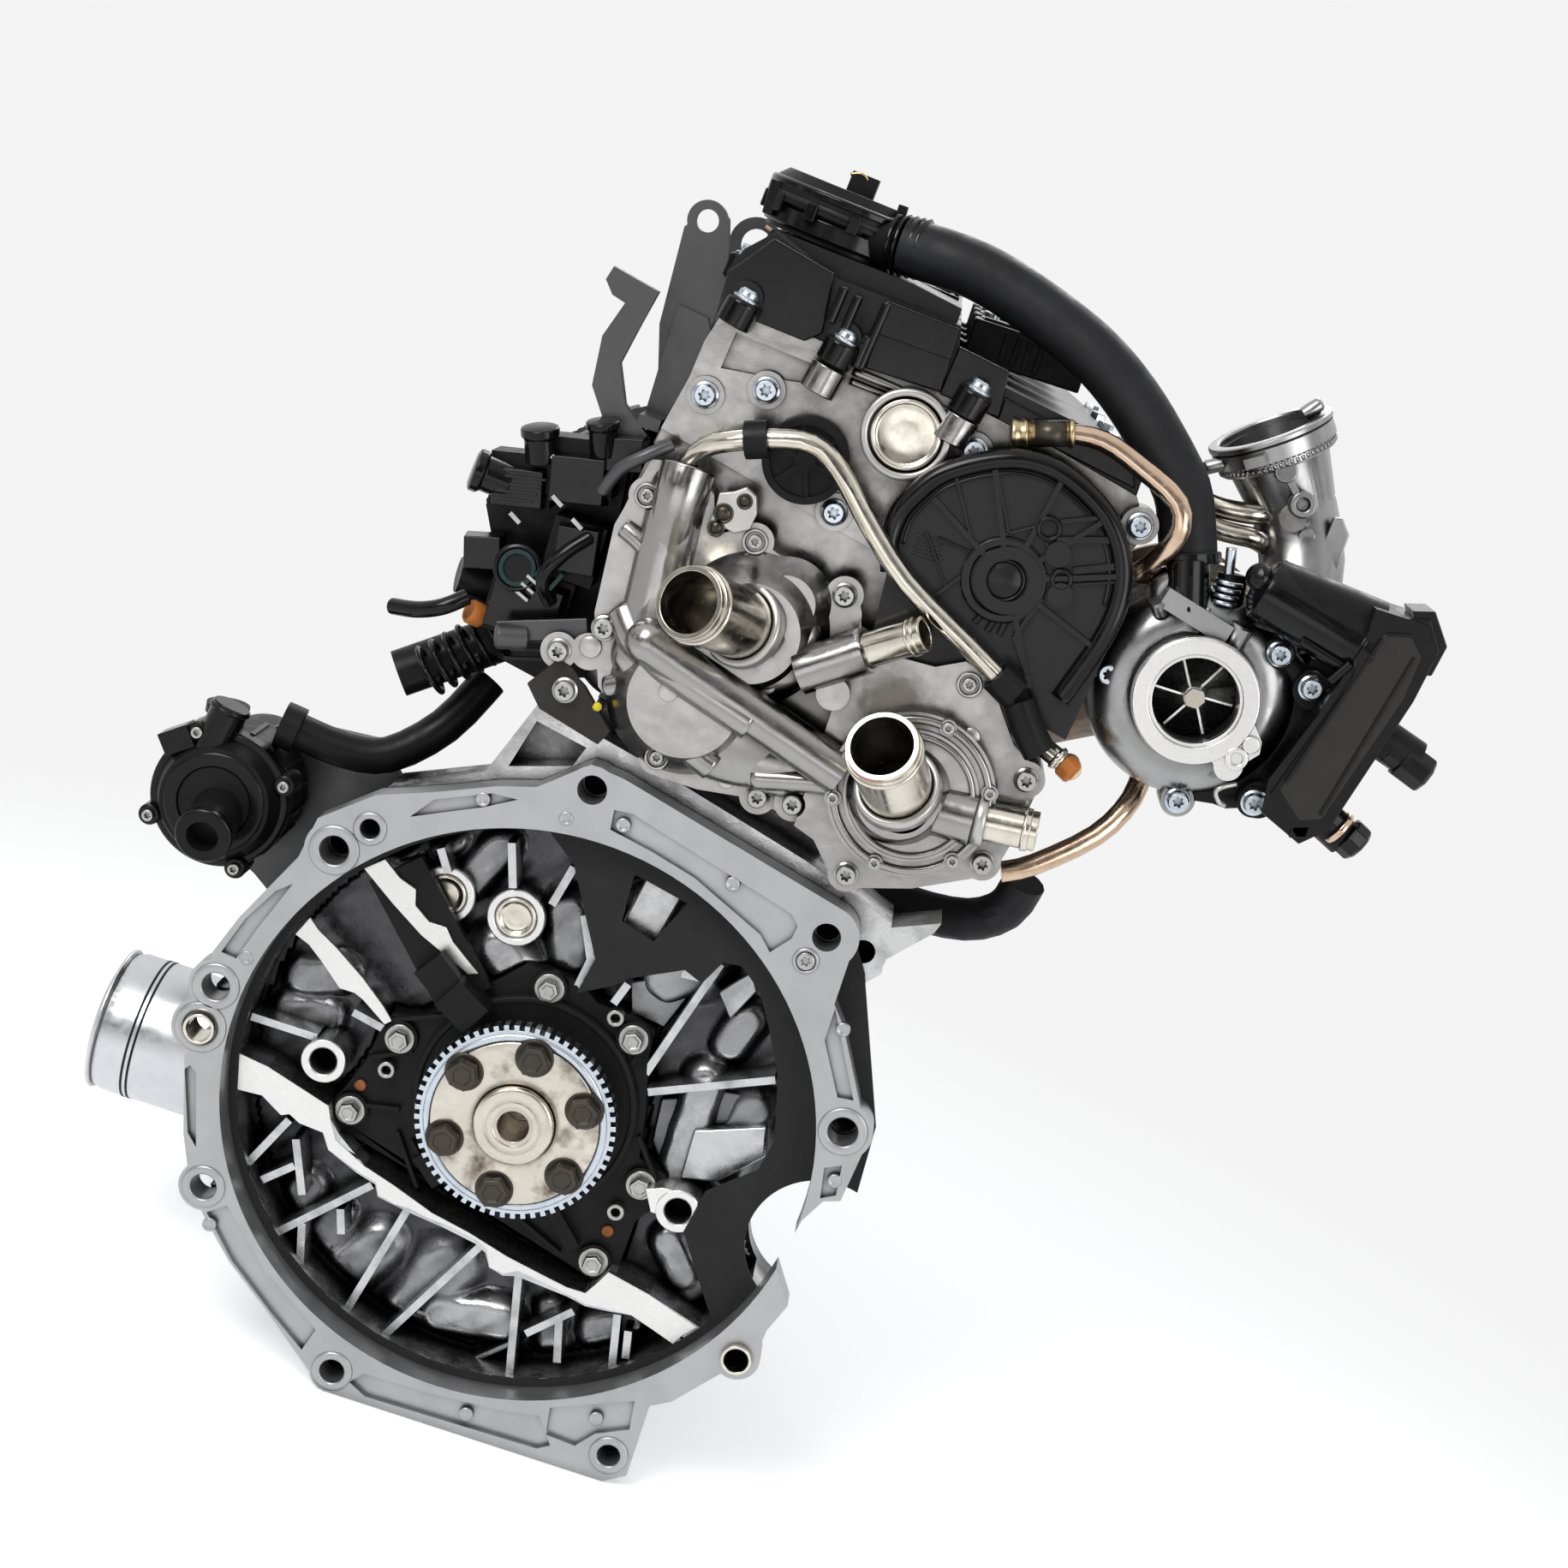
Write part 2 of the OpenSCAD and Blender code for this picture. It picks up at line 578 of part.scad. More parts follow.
module upper_oil_pan() {
    color(cast_c) difference() {
        union() {
            prism(wall_y, block_end - 4) difference() {
                pan_profile2d(0);
                above_joint2d();
            }
            // rim, rear wall and ribs below the joint
            prism(joint_y, wall_y + wall_t) difference() {
                polygon(face_outline);
                circle(r = bell_in_r, $fn = 96);
                above_joint2d();
            }
            prism(wall_y, wall_y + wall_t) difference() {
                polygon(face_outline);
                above_joint2d();
            }
            prism(joint_y, wall_y + 1) difference() {
                intersection() {
                    polygon(joint_outline);
                    circle(r = bell_in_r + 1);
                }
                lean2d() translate([-400, -pan_joint - 1.5]) square([800, 900]);
            }
            prism(22, wall_y + 1) difference() {
                intersection() {
                    for (s = [[[-112, -46], [-127, -77]], [[-117, -82], [-103, -69]],
                              [[-106, -55], [-95, -83]], [[-62, -66], [-104, -109]], [[-74, -84], [-70, -97]],
                              [[-91, -98], [-86, -120]], [[-41, -73], [-57, -140]], [[0, -80], [-35, -146]],
                              [[23, -86], [35, -146]], [[56, -98], [36, -118]], [[50, -104], [56, -128]],
                              [[78, -92], [84, -122]], [[86, -99], [89, -114]]])
                        strip2d(s[0], s[1], 4);
                    circle(r = bell_in_r + 1);
                }
                above_joint2d();
            }
            // seat of the oil filter
            bar([-150, 92, -52], [-104, 92, -52], 30);
            prism(64, 120) polygon([[-118, -74], [-118, -44.5], [-103.4, -44.5], [-90, -100]]);
            // flange for the lower pan
            translate([-80, 62, -136]) cube([156, 300, 8]);
        }
        seal_flange_space();
        prism(wall_y + wall_t, block_end - 12) difference() {
            pan_profile2d(8);
            translate([-200, -140]) square([400, 12]);
        }
        translate([-66, 74, -140]) cube([128, 276, 20]);
        for (h = flange_holes) rod_y(h, h[2] - 1, joint_y - 1, 40);
    }
}

module lower_oil_pan() {
    color(black_c) difference() {
        union() {
            translate([-80, 62, -139]) cube([156, 300, 3]);
            translate([-68, 72, base_z]) cube([132, 280, 34]);
            // drain plug
            bar([64, 300, base_z + 16], [72, 300, base_z + 16], 11);
            translate([72, 300, base_z + 16]) rotate([0, 90, 0]) cylinder(r = 9, h = 6, $fn = 6);
        }
        translate([-66, 74, base_z + 2]) cube([128, 276, 60]);
    }
}

// ---------- head ----------

module head_gasket() {
    color(steel_c) leaning() difference() {
        translate([-64, wall_y + 1, deck_z]) cube([128, block_end - wall_y - 6, 1.5]);
        for (y = bore_ys) translate([0, y, deck_z - 1]) cylinder(r = bore_d / 2 + 0.5, h = 4);
    }
}

head_low = deck_z + 1.5;
plug_x = 6;
intake_seat = [-17, head_low + 6];
exhaust_seat = [17, head_low + 6];

// Places children on each valve axis, pointing from seat to cam
module on_valves(seat, cam_x) {
    for (y = bore_ys) for (s = [-17, 17])
        leaning() translate([seat[0], y + s, seat[1]])
            rotate([0, atan2(cam_x - seat[0], cam_z - seat[1]), 0]) children();
}

module valves() {
    stem = 92;
    color(steel_c) for (v = [[intake_seat, intake_x, 13], [exhaust_seat, exhaust_x, 11.5]])
        on_valves(v[0], v[1]) {
            cylinder(r = v[2], h = 2.5);
            translate([0, 0, 2.5]) cylinder(r1 = v[2], r2 = 2.8, h = 7);
            cylinder(r = 2.8, h = stem);
            translate([0, 0, stem - 8]) cylinder(r = 11, h = 4);
        }
}

// Spark plug wells, from the chambers up through the cam housing
module plug_wells(r) {
    leaning() for (y = bore_ys) translate([plug_x, y, head_low]) cylinder(r = r, h = 300);
}

module cylinder_head() {
    color(cast_c) difference() {
        prism(head_y, head_end) lean2d() polygon([[-78, head_low], [78, head_low], [90, 238],
            [97, 300], [88, cam_joint], [-104, cam_joint], [-101, 280], [-84, 238]]);
        leaning() for (y = bore_ys) {
            translate([0, y, head_low - 1]) cylinder(r = 36.5, h = 12);
            // intake port to the left face
            translate([-19, y, head_low + 26]) rotate([0, -72, 0]) cylinder(r = 15, h = 100);
            // exhaust port towards the collector
            translate([20, y, head_low + 26]) rotate([0, 72, 0]) cylinder(r = 12, h = 50);
        }
        plug_wells(12);
        // exhaust collector and its outlet
        rod_y(row([64, 250]), 17, 90, 364);
        leaning() translate([60, 140, 264]) rotate([0, 90, 0]) cylinder(r = 22, h = 60);
        // room for the valves and springs
        for (v = [[intake_seat, intake_x, 14], [exhaust_seat, exhaust_x, 12.5]])
            on_valves(v[0], v[1]) {
                translate([0, 0, -1]) cylinder(r = v[2], h = 12);
                cylinder(r = 10, h = 34);
                cylinder(r = 3.2, h = 120);
                translate([0, 0, 62]) cylinder(r = 14, h = 90);
            }
    }
}

cam_housing_profile = [
    row([-104.5, cam_joint]), [-27, 375], [-25, 394], [-20, 411], [0, 413],
    [101, 404], [150, 396], [192, 387], [202, 372], [188, 336], row([88, cam_joint])];

module cam_housing() {
    color(cast_c) difference() {
        union() {
            prism(head_y - 2, head_end) polygon(cam_housing_profile);
            for (b = housing_bolt_at) rod_y([b[0], b[1]], 9, b[2] + 2, head_y);
            rod_y([197, 375], 9, 12, 30);
        }
        // cam chamber, left open to the head below
        for (i = [0:3]) {
            y0 = i == 0 ? head_y + 12 : main_ys[i] + 10;
            prism(y0, main_ys[i + 1] - 10)
                lean2d() polygon([[-88, cam_joint - 1], [80, cam_joint - 1], [100, 352], [102, 396],
                    [40, 402], [-84, 388]]);
        }
        for (c = [intake_cam, exhaust_cam]) rod_y(c, cam_r + bearing_gap, head_y - 10, head_end + 10);
        rod_y([79, 382], 17, 8, 24);
        rod_y(intake_cam, 20.6, head_y - 6, head_y - 2);
        plug_wells(13);
        prism(head_y - 3, head_y + 2) polygon([[-14, 384], [-12, 402], [44, 398], [40, 392], [18, 388]]);
        prism(head_y - 3, head_y + 2) polygon([[60, 398], [94, 396], [96, 388], [62, 393]]);
    }
}

module cam_seal_cap() {
    color(black_c) {
        difference() {
            rod_y(intake_cam, 20.5, 6, head_y - 2);
            rod_y(intake_cam, 17, 5, 9);
        }
        rod_y(intake_cam, 5, 6.5, 10);
        for (a = [0:60:120]) translate([intake_cam[0], 0, intake_cam[1]]) rotate([0, a + 10, 0])
            translate([-18.5, 7, -1]) cube([37, 3, 2]);
    }
}

module cam_cover() {
    color(black_c) difference() {
        union() {
            prism(head_y + 2, 388) polygon([[-20, 411], [0, 413], [101, 404], [150, 396], [192, 387],
                [192, 396], [160, 410], [92, 420], [88, 437], [23, 440], [-8, 452], [-20, 440], [-25, 428]]);
            // bolt pillars along the gearbox end
            for (p = [[-12, 415], [38, 411], [103, 403]]) rod_y([p[0], p[1] + 4], 8, head_y - 8, head_y + 4);
            for (p = [[12, 416], [70, 410]]) rod_y([p[0], p[1] + 2], 5, head_y - 2, head_y + 4);
            // upper ledge
            prism(46, 380) polygon([[-16, 440], [-12, 452], [60, 448], [86, 444], [86, 434]]);
        }
        plug_wells(13);
        prism(head_y - 2, head_end) polygon(cam_housing_profile);
        rod_y([-24, 440], 14.4, 139, 147);
    }
}

module housing_bolts() {
    color(steel_c) {
        for (b = housing_bolt_at) socket_bolt([b[0], b[1]], b[2] + 2, 6.5);
        for (p = [[-12, 420], [38, 416], [103, 408]]) socket_bolt(p, head_y - 8, 6.5);
    }
}

// ---------- valve gear ----------

module camshaft(c, phase) {
    color(steel_c) {
        rod_y(c, cam_r, head_y - 1, belt_y0 - 2);
        rod_y(c, 10, belt_y0 - 4, belt_y1 + 4);
        for (i = [0:3]) for (s = [-17, 17]) {
            a = phase + [0, 90, 270, 180][i];
            disc_pair(c, 16, c + 13 * [cos(a), sin(a)], 8, bore_ys[i] + s - 6, bore_ys[i] + s + 6);
        }
    }
}

module intake_camshaft() {
    camshaft(intake_cam, 60);
}

module exhaust_camshaft() {
    camshaft(exhaust_cam, -60);
    color(steel_c) rod_y(exhaust_cam, 9, 4, head_y);
}

module sprocket(c) {
    color(iron_c) difference() {
        rod_y(c, cam_sprocket_r, belt_y0 - 1, belt_y1 + 1);
        rod_y(c, 10.05, belt_y0 - 3, belt_y1 + 3);
        for (a = [0:72:288]) rod_y(c + 27 * [cos(a), sin(a)], 8, belt_y0 - 2, belt_y1 + 2);
    }
}

module intake_sprocket() {
    sprocket(intake_cam);
}

module exhaust_sprocket() {
    sprocket(exhaust_cam);
}

// Profile around the crank sprocket and both cam sprockets, t outside them
module timing_loop(t, y0, y1) {
    disc_pair([0, 0], crank_sprocket_r + t, exhaust_cam, cam_sprocket_r + t, y0, y1);
    disc_pair([0, 0], crank_sprocket_r + t, intake_cam, cam_sprocket_r + t, y0, y1);
    disc_pair(intake_cam, cam_sprocket_r + t, exhaust_cam, cam_sprocket_r + t, y0, y1);
    prism(y0, y1) polygon([[0, 0], exhaust_cam, intake_cam]);
}

module timing_belt() {
    color(rubber_c) difference() {
        timing_loop(belt_t + 0.4, belt_y0, belt_y1);
        timing_loop(0.4, belt_y0 - 1, belt_y1 + 1);
    }
}

roller_r = 26;
roller_side = acos((cam_sprocket_r - crank_sprocket_r) / norm(intake_cam));
roller_angle = atan2(intake_cam[1], intake_cam[0]) + roller_side;
roller_at = 0.45 * intake_cam
    + (crank_sprocket_r + 0.45 * (cam_sprocket_r - crank_sprocket_r) + belt_t + roller_r + 1.2)
    * [cos(roller_angle), sin(roller_angle)];

module tensioner_roller() {
    color(steel_c) difference() {
        rod_y(roller_at, roller_r, belt_y0, belt_y1);
        rod_y(roller_at, 8.05, belt_y0 - 1, belt_y1 + 1);
    }
}

module timing_case(t, y0, y1) {
    timing_loop(14 + t, y0, y1);
    rod_y(roller_at, roller_r + 8 + t, y0, y1);
}

module timing_cover() {
    color(black_c) {
        difference() {
            timing_case(3, block_end + 1, timing_end);
            timing_case(0, block_end, timing_end - 3);
            rod_y([0, 0], 27, timing_end - 5, timing_end + 1);
        }
        // fixed stud of the tensioner
        rod_y(roller_at, 8, block_end + 1, timing_end - 2);
    }
}

module ignition_coils() {
    color(black_c) {
        leaning() for (y = bore_ys) {
            translate([plug_x, y, head_low + 16]) cylinder(r = 9, h = 160);
            translate([plug_x, y, 340]) cylinder(r = 11.5, h = 98);
        }
        for (y = bore_ys) difference() {
            translate([94, y - 17, 421]) cube([60, 34, 20]);
            translate([150, y - 9, 424]) cube([8, 18, 14]);
        }
    }
}

module oil_separator() {
    tilt = 4;
    color(black_c) {
        translate([16, 102, 451]) rotate([0, tilt, 0]) {
            cylinder(r = 36, h = 13);
            translate([0, 0, 13]) cylinder(r = 41, h = 10);
            translate([0, 0, 23]) cylinder(r1 = 40, r2 = 34, h = 6);
            translate([-4, -12, 27]) cube([14, 14, 12]);
        }
        bar([30, 82, 462], [50, 68, 463], 12);
    }
}

// ---------- coolant module and pump ----------

// Necks: base, mouth, outer radius, wall
neck_at = [
    [[36, -8, 275], [9, -60, 286], neck_r, 2.5],
    [[128, -25, 225], [112, -66, 252], neck_r, 2.5],
    [[88, -10, 279], [116, -22, 300], 8.5, 2],
    [[165, -14, 222], [196, -17, 226], 9.5, 2]];

// Room for a neck, starting the length back behind its base
module neck_space(n, back) {
    bar(n[0] - back * unit(n[1] - n[0]), n[1], n[2] + 0.05);
}

module coolant_module() {
    color(cast_c) difference() {
        union() {
            prism(2, head_y) intersection() {
                polygon(module_outline);
                translate([-100, 100]) square([100 + module_split_x, 300]);
            }
            prism(-6, 6) intersection() {
                polygon(module_outline);
                translate([module_split_x - 6, 100]) square([200, 300]);
            }
            for (b = module_bolt_at) rod_y([b[0], b[1]], 9, b[2], b[0] > module_split_x ? head_y : 4);
            // long duct on the left
            bar([-14, 4, 324], [-9, 4, 244], 14);
            translate([-14, 4, 324]) sphere(r = 14.5, $fn = 32);
            translate([-9, 4, 244]) sphere(r = 14.5, $fn = 32);
            // round chamber of the thermostats
            cone_y([18, 232], 27, 39, -14, 3);
            cone_y([38, 273], 24, 38, -14, 3);
            cone_y([50, 290], 14, 22, -6, 3);
            // cross duct to the pump
            bar([-6, -12, 254], [100, -12, 222], 11);
            translate([-6, -12, 254]) sphere(r = 11.5, $fn = 32);
            // boss of the small nozzle and of the lower right nozzle
            bar([66, -8, 262], [92, -12, 282], 11);
            bar([136, -12, 220], [166, -15, 222], 13);
            rod_y([84, 258], 8, -14, 3);
            // pump chamber wall
            rod_y(pump, 40, -14, 0);
        }
        rod_y(pump, 30, -15, -3);
        rod_y(pump, 6 + bearing_gap, -5, 10);
        for (b = module_bolt_at) rod_y([b[0], b[1]], 6.4, b[2] - 16, b[2]);
        for (n = neck_at) neck_space(n, 0);
        bar(neck_at[0][0] + [9, 16, -3], neck_at[0][0], neck_r - 3);
        bar([140, -11, 220], neck_at[3][0], 7.5);
        bar([50, -12, 236], [110, -12, 222], 7);
        bar([-16, 6, 336], [-12, 2, 343], 6.5);
    }
}

module pump_cover() {
    cover_y = -14;
    color(cast_c) difference() {
        union() {
            rod_y(pump, 40, cover_y - 3, cover_y);
            rod_y(pump, 32, cover_y - 5, cover_y - 3);
            cone_y([128, 223], 20, 26, cover_y - 14, cover_y - 3);
            for (a = [20:60:320]) rod_y(pump + 37 * [cos(a), sin(a)], 4, cover_y - 5, cover_y);
        }
        neck_space(neck_at[1], 15);
        neck_space(neck_at[3], 0);
        bar([136, -12, 220], [166, -15, 222], 13.1);
        bar([-6, -12, 254], [100, -12, 222], 11.1);
    }
}

module coolant_necks() {
    color(nickel_c) for (n = neck_at) {
        length = norm(n[1] - n[0]);
        aim(n[0], n[1]) difference() {
            union() {
                cylinder(r = n[2], h = length);
                translate([0, 0, length - 6]) cylinder(r = n[2] + 0.8, h = 2.5);
            }
            translate([0, 0, -1]) cylinder(r = n[2] - n[3], h = length + 2);
        }
    }
}

module module_bolts() {
    color(steel_c) for (b = module_bolt_at) socket_bolt([b[0], b[1]], b[2], 6);
}

module pump_rotor() {
    blades = 6;
    color(black_c) {
        difference() {
            rod_y(pump, pump_pulley_r, pump_belt_y0 - 1, pump_belt_y1 + 1);
            rod_y(pump, 6, pump_belt_y0 - 2, pump_belt_y1 + 2);
        }
        rod_y(pump, 6, -6, pump_belt_y1 + 2);
        rod_y(pump, 26, -7, -5);
        for (i = [0:blades - 1]) translate([pump[0], 0, pump[1]]) rotate([0, i * 360 / blades, 0])
            translate([8, -12, -1]) cube([17, 6, 2]);
        rod_y(pump, 9, -12, -6);
    }
}

module pump_drive_pulley() {
    color(iron_c) difference() {
        rod_y(exhaust_cam, cam_pulley_r, pump_belt_y0 - 1, pump_belt_y1 + 1);
        rod_y(exhaust_cam, 9 + bearing_gap, 0, head_y);
    }
}

module pump_drive_belt() {
    outer = belt_t + 0.3;
    color(rubber_c) difference() {
        disc_pair(exhaust_cam, cam_pulley_r + outer, pump, pump_pulley_r + outer,
            pump_belt_y0, pump_belt_y1);
        disc_pair(exhaust_cam, cam_pulley_r + 0.3, pump, pump_pulley_r + 0.3, 0, head_y);
    }
}

module pump_cover2d(t) {
    translate(exhaust_cam) circle(r = 52 + t);
    polygon([[92 - t, 340], [96 - t, 290], [104, 284 - t], [146, 286 - t], [150, 296],
        [172, 277 - t], [193 + t, 272 - t], [199 + t, 330]]);
}

module pump_belt_cover() {
    front = 0;
    color(black_c) {
        difference() {
            prism(front, head_y - 2) pump_cover2d(3);
            prism(front + 3, head_y) pump_cover2d(0);
            rod_y([112, 384], 9, -1, head_y);
            rod_y([144, 281], 9.5, -2, head_y);
            rod_y([152, 287], 8, -2, head_y);
            rod_y([75, 302], 9.5, -2, head_y);
            disc_pair(exhaust_cam, cam_pulley_r + belt_t + 3, pump, pump_pulley_r + belt_t + 3,
                front + 3, head_y);
            prism(-1, head_y) polygon(module_outline);
        }
        // front ribs and hub
        difference() {
            union() {
                rod_y(exhaust_cam, 16, front - 4, front + 1);
                prism(front - 3, front + 1) intersection() {
                    for (a = [-60, -20, 20, 50, 80, 115, 150])
                        strip2d(exhaust_cam, exhaust_cam + 54 * [cos(a), sin(a)], 2.5);
                    translate(exhaust_cam) circle(r = 52);
                }
                for (p = [[164, 352], [171, 334]]) rod_y(p, 6, front - 4, front + 1);
            }
            rod_y(exhaust_cam, 10, front - 5, front - 1);
            prism(-8, head_y) polygon(module_outline);
        }
    }
}

// ---------- pipes and hoses ----------

pipe_points = [[-16, 6, 336], [-8, -2, 349], [6, -8, 357], [22, -9, 363], [39, -9, 366], [54, -9, 359],
    [72, -9, 342], [100, -12, 319], [138, -14, 299], [166, -12, 284]];
breather_points = [[50, 69, 463.5], [80, 63, 463.5], [103, 59, 460], [136, 52, 450], [157, 47, 441],
    [176, 42.5, 429], [194, 37, 414], [212, 32.5, 396], [220, 30.5, 380], [226, 29, 365]];
breather_end = [235.5, 26, 341];

module coolant_pipe() {
    color(nickel_c) sweep(pipe_points, coolant_pipe_r);
}

// Sleeve around one stretch of the coolant pipe
module pipe_sleeve(i, from, length, r) {
    aim(pipe_points[i], pipe_points[i + 1]) translate([0, 0, from]) difference() {
        cylinder(r = r, h = length);
        translate([0, 0, -1]) cylinder(r = coolant_pipe_r + 0.6, h = length + 2);
    }
}

module pipe_clamps() {
    last = len(pipe_points) - 2;
    color(black_c) {
        pipe_sleeve(2, 3, 11, coolant_pipe_r + 4);
        pipe_sleeve(last, 18, 13, coolant_pipe_r + 3.5);
        sweep([[168, -12.6, 281.4], [176, -14, 271], [185, -14.6, 262]], 8);
    }
}

module turbo_coolant_pipes() {
    color([0.66, 0.50, 0.36]) {
        sweep([[128.5, 14, 398], [150, 14.5, 405], [168, 14.5, 407], [188, 13, 401], [210, 8, 391],
            [215, 8, 376], [208, 20, 358], [207, 40, 351], [216, 62, 350], [236, 73, 350],
            [243.5, 74, 336]], 5);
        bar([204, 12, 254], [204, 24, 254], 5.5);
    }
    color(steel_c) sweep([[190, 26, 192], [204, 28, 200], [229, 36, 222], [241, 46, 243], [244, 66, 262],
        [246, 71.6, 279]], 5.5);
}

module lower_hose() {
    color(rubber_c) sweep([[104, 80, 160], [127, 76, 152], [155, 68, 150], [184, 56, 156], [200, 46, 170],
        [204, 40, 188]], 11);
}

module breather_hose() {
    color(rubber_c) difference() {
        sweep(breather_points, breather_r, 18);
        bar([30, 82, 462], [53, 65.9, 463], 12.3);
    }
    color(black_c) bar([226, 29, 365], breather_end, 10);
}

module plastic_pipe() {
    color(black_c) difference() {
        union() {
            sweep([[-176, 62, 141], [-144, 66, 137], [-122, 70, 141], [-100, 80, 162], [-86, 92, 190]], 9.5);
            bar([-178, 62, 141.3], [-168, 63, 140], 12);
        }
        bar([-180, 62, 141.5], [-150, 65, 137.8], 7);
    }
}

// ---------- turbocharger ----------

module compressor_envelope(t) {
    translate([turbo[0], 30, turbo[1]]) rotate([-90, 0, 0]) rotate_extrude($fn = 64)
        translate([33, 0]) circle(r = 18 + t, $fn = 40);
    rod_y(turbo, 28 + t, 2, 30);
    rod_y(turbo, 46 + t, 38, 50);
}

elbow_points = [[285, 60, 354], [284, 72, 378], [272, 79, 402], [250, 76, 431]];
elbow_curve = [[278.5, 47, 340], elbow_points[0], elbow_points[1], elbow_points[2]];

module compressor_housing() {
    color(cast_c) difference() {
        union() {
            compressor_envelope(0);
            for (p = [[281, 338], [259, 254], [205, 302]]) {
                rod_y(p, 8, 22, 44);
            }
            // outlet towards the charge elbow and stub for the breather
            bar([272, 34, 326], elbow_points[0], 21);
            bar([237, 24, 334], [235, 25, 346], 13);
        }
        rod_y(turbo, 40, -1, 5);
        rod_y(turbo, inlet_r, 4, 22);
        cone_y(turbo, inlet_r, 26.5, 20, 34);
        rod_y(turbo, 26.5, 33, 45);
        rod_y(turbo, 6 + bearing_gap, 40, 51);
        difference() {
            translate([turbo[0], 30, turbo[1]]) rotate([-90, 0, 0]) rotate_extrude($fn = 64)
                translate([36, 0]) circle(r = 12, $fn = 40);
            rod_y(turbo, 29, 0, 30);
        }
        bar([272, 34, 326], 1.1 * elbow_points[0] - 0.1 * [272, 34, 326], 16);
        bar([226, 29, 365], breather_end, 10.2);
    }
}

module compressor_inlet_ring() {
    color([0.86, 0.87, 0.88]) difference() {
        union() {
            rod_y(turbo, inlet_ring_r, 0, 5);
            prism(0, 5) strip2d(turbo, [273, 281], 12);
            rod_y([273, 281], 7, 0, 5);
        }
        rod_y(turbo, inlet_r, -1, 6);
    }
}

module compressor_wheel() {
    color([0.75, 0.76, 0.78]) difference() {
        union() {
            cone_y(turbo, 5, 9, 10, 26);
            cone_y(turbo, 9, 24, 26, 41);
            translate([turbo[0], 0, turbo[1]]) rotate([-90, 0, 0]) intersection() {
                rotate_extrude($fn = 64)
                    polygon([[0, 13], [inducer_r, 15], [inducer_r, 24], [25, 36], [25, 41], [0, 41]]);
                for (i = [0:5]) rotate(i * 60) translate([0, -0.6, 10]) rotate([12, 0, 0])
                    cube([30, 1.2, 34]);
            }
        }
        rod_y(turbo, 3.02, 8, 44);
    }
}

module turbine_rotor() {
    color(iron_c) {
        rod_y(turbo, 3, 6, 44);
        rod_y(turbo, 6, 43, 96);
        translate([turbo[0], 6, turbo[1]]) rotate([-90, 0, 0]) cylinder(r = 5, h = 4, $fn = 6);
        cone_y(turbo, 24, 9, 94, 112);
        rod_y(turbo, 9, 112, 122);
        translate([turbo[0], 0, turbo[1]]) rotate([-90, 0, 0]) intersection() {
            translate([0, 0, 94]) cylinder(r1 = 25, r2 = 19, h = 26);
            for (i = [0:8]) rotate(i * 40) translate([0, -0.8, 94]) cube([30, 1.6, 26]);
        }
    }
}

module bearing_housing() {
    color(iron_c) difference() {
        union() {
            rod_y(turbo, 42, 50, 56);
            rod_y(turbo, 26, 56, 84);
            rod_y(turbo, 38, 82, 90);
            bar([246, 72, 282], [244, 74, 334], 10);
        }
        rod_y(turbo, 6 + bearing_gap, 40, 100);
        bar([272, 34, 326], elbow_points[0], 21.3);
    }
}

spindle = [282, 156];

module turbine_housing() {
    head_port = row([97.5, 264]);
    color(iron_c) difference() {
        union() {
            rod_y(turbo, 44, 90, 143);
            translate([turbo[0], 112, turbo[1]]) rotate([-90, 0, 0]) rotate_extrude($fn = 64)
                translate([34, 0]) circle(r = 19, $fn = 40);
            rod_y(turbo, 48, 140, 178);
            rod_y(turbo, 54, 172, 178);
            bar([228, 116, 288], [head_port[0], 140, head_port[1]], 24);
            translate([spindle[0], spindle[1], 330]) cylinder(r = 8, h = 22);
            leaning() translate([97.6, 102, 232]) cube([10, 76, 64]);
        }
        leaning() translate([-40, 90, 200]) cube([137.5, 110, 140]);
        rod_y(turbo, 27, 89, 124);
        rod_y(turbo, 20.5, 120, 144);
        rod_y(turbo, 42, 143, 179);
        bar([236, 114, 294], [head_port[0] - 4, 140, head_port[1] - 1], 18);
        rod_y([277, 306], 7, 120, 144);
        translate([spindle[0], spindle[1], 320]) cylinder(r = 4 + bearing_gap, h = 40);
    }
}

module wastegate_flap() {
    color(steel_c) {
        translate([spindle[0], spindle[1], 300]) cylinder(r = 4, h = 57);
        rod_y([277, 306], 9, 143.8, 146.5);
        translate([274, 146, 302]) cube([8, 9, 8]);
        difference() {
            translate([spindle[0] - 6, spindle[1] - 34, 353]) cube([12, 40, 4]);
            translate([spindle[0], spindle[1] - 28, 350]) cylinder(r = 3, h = 10);
        }
    }
}

module boost_actuator() {
    color(black_c) difference() {
        union() {
            prism(-8, 46) polygon([[311, 374], [336, 374], [345, 362], [341, 338], [323, 264],
                [314, 260], [295, 276], [312, 338]]);
            bar([264, 12, 364], [318, 12, 360], 17);
            rod_y([300, 326], 9, 12, 40);
            rod_y([294, 268], 9, 12, 44);
            bar([336, 8, 316], [356, 8, 310], 10);
            bar([320, 8, 272], [338, 8, 264], 9);
            prism(20, 44) polygon([[262, 256], [300, 262], [312, 340], [296, 340], [288, 300], [270, 268]]);
        }
        compressor_envelope(0.4);
        bar([272, 34, 326], elbow_points[0], 21.4);
        for (p = [[281, 338], [259, 254]]) rod_y(p, 8.4, -9, 50);
        rod_y([273, 281], 7.4, -9, 6);
    }
}

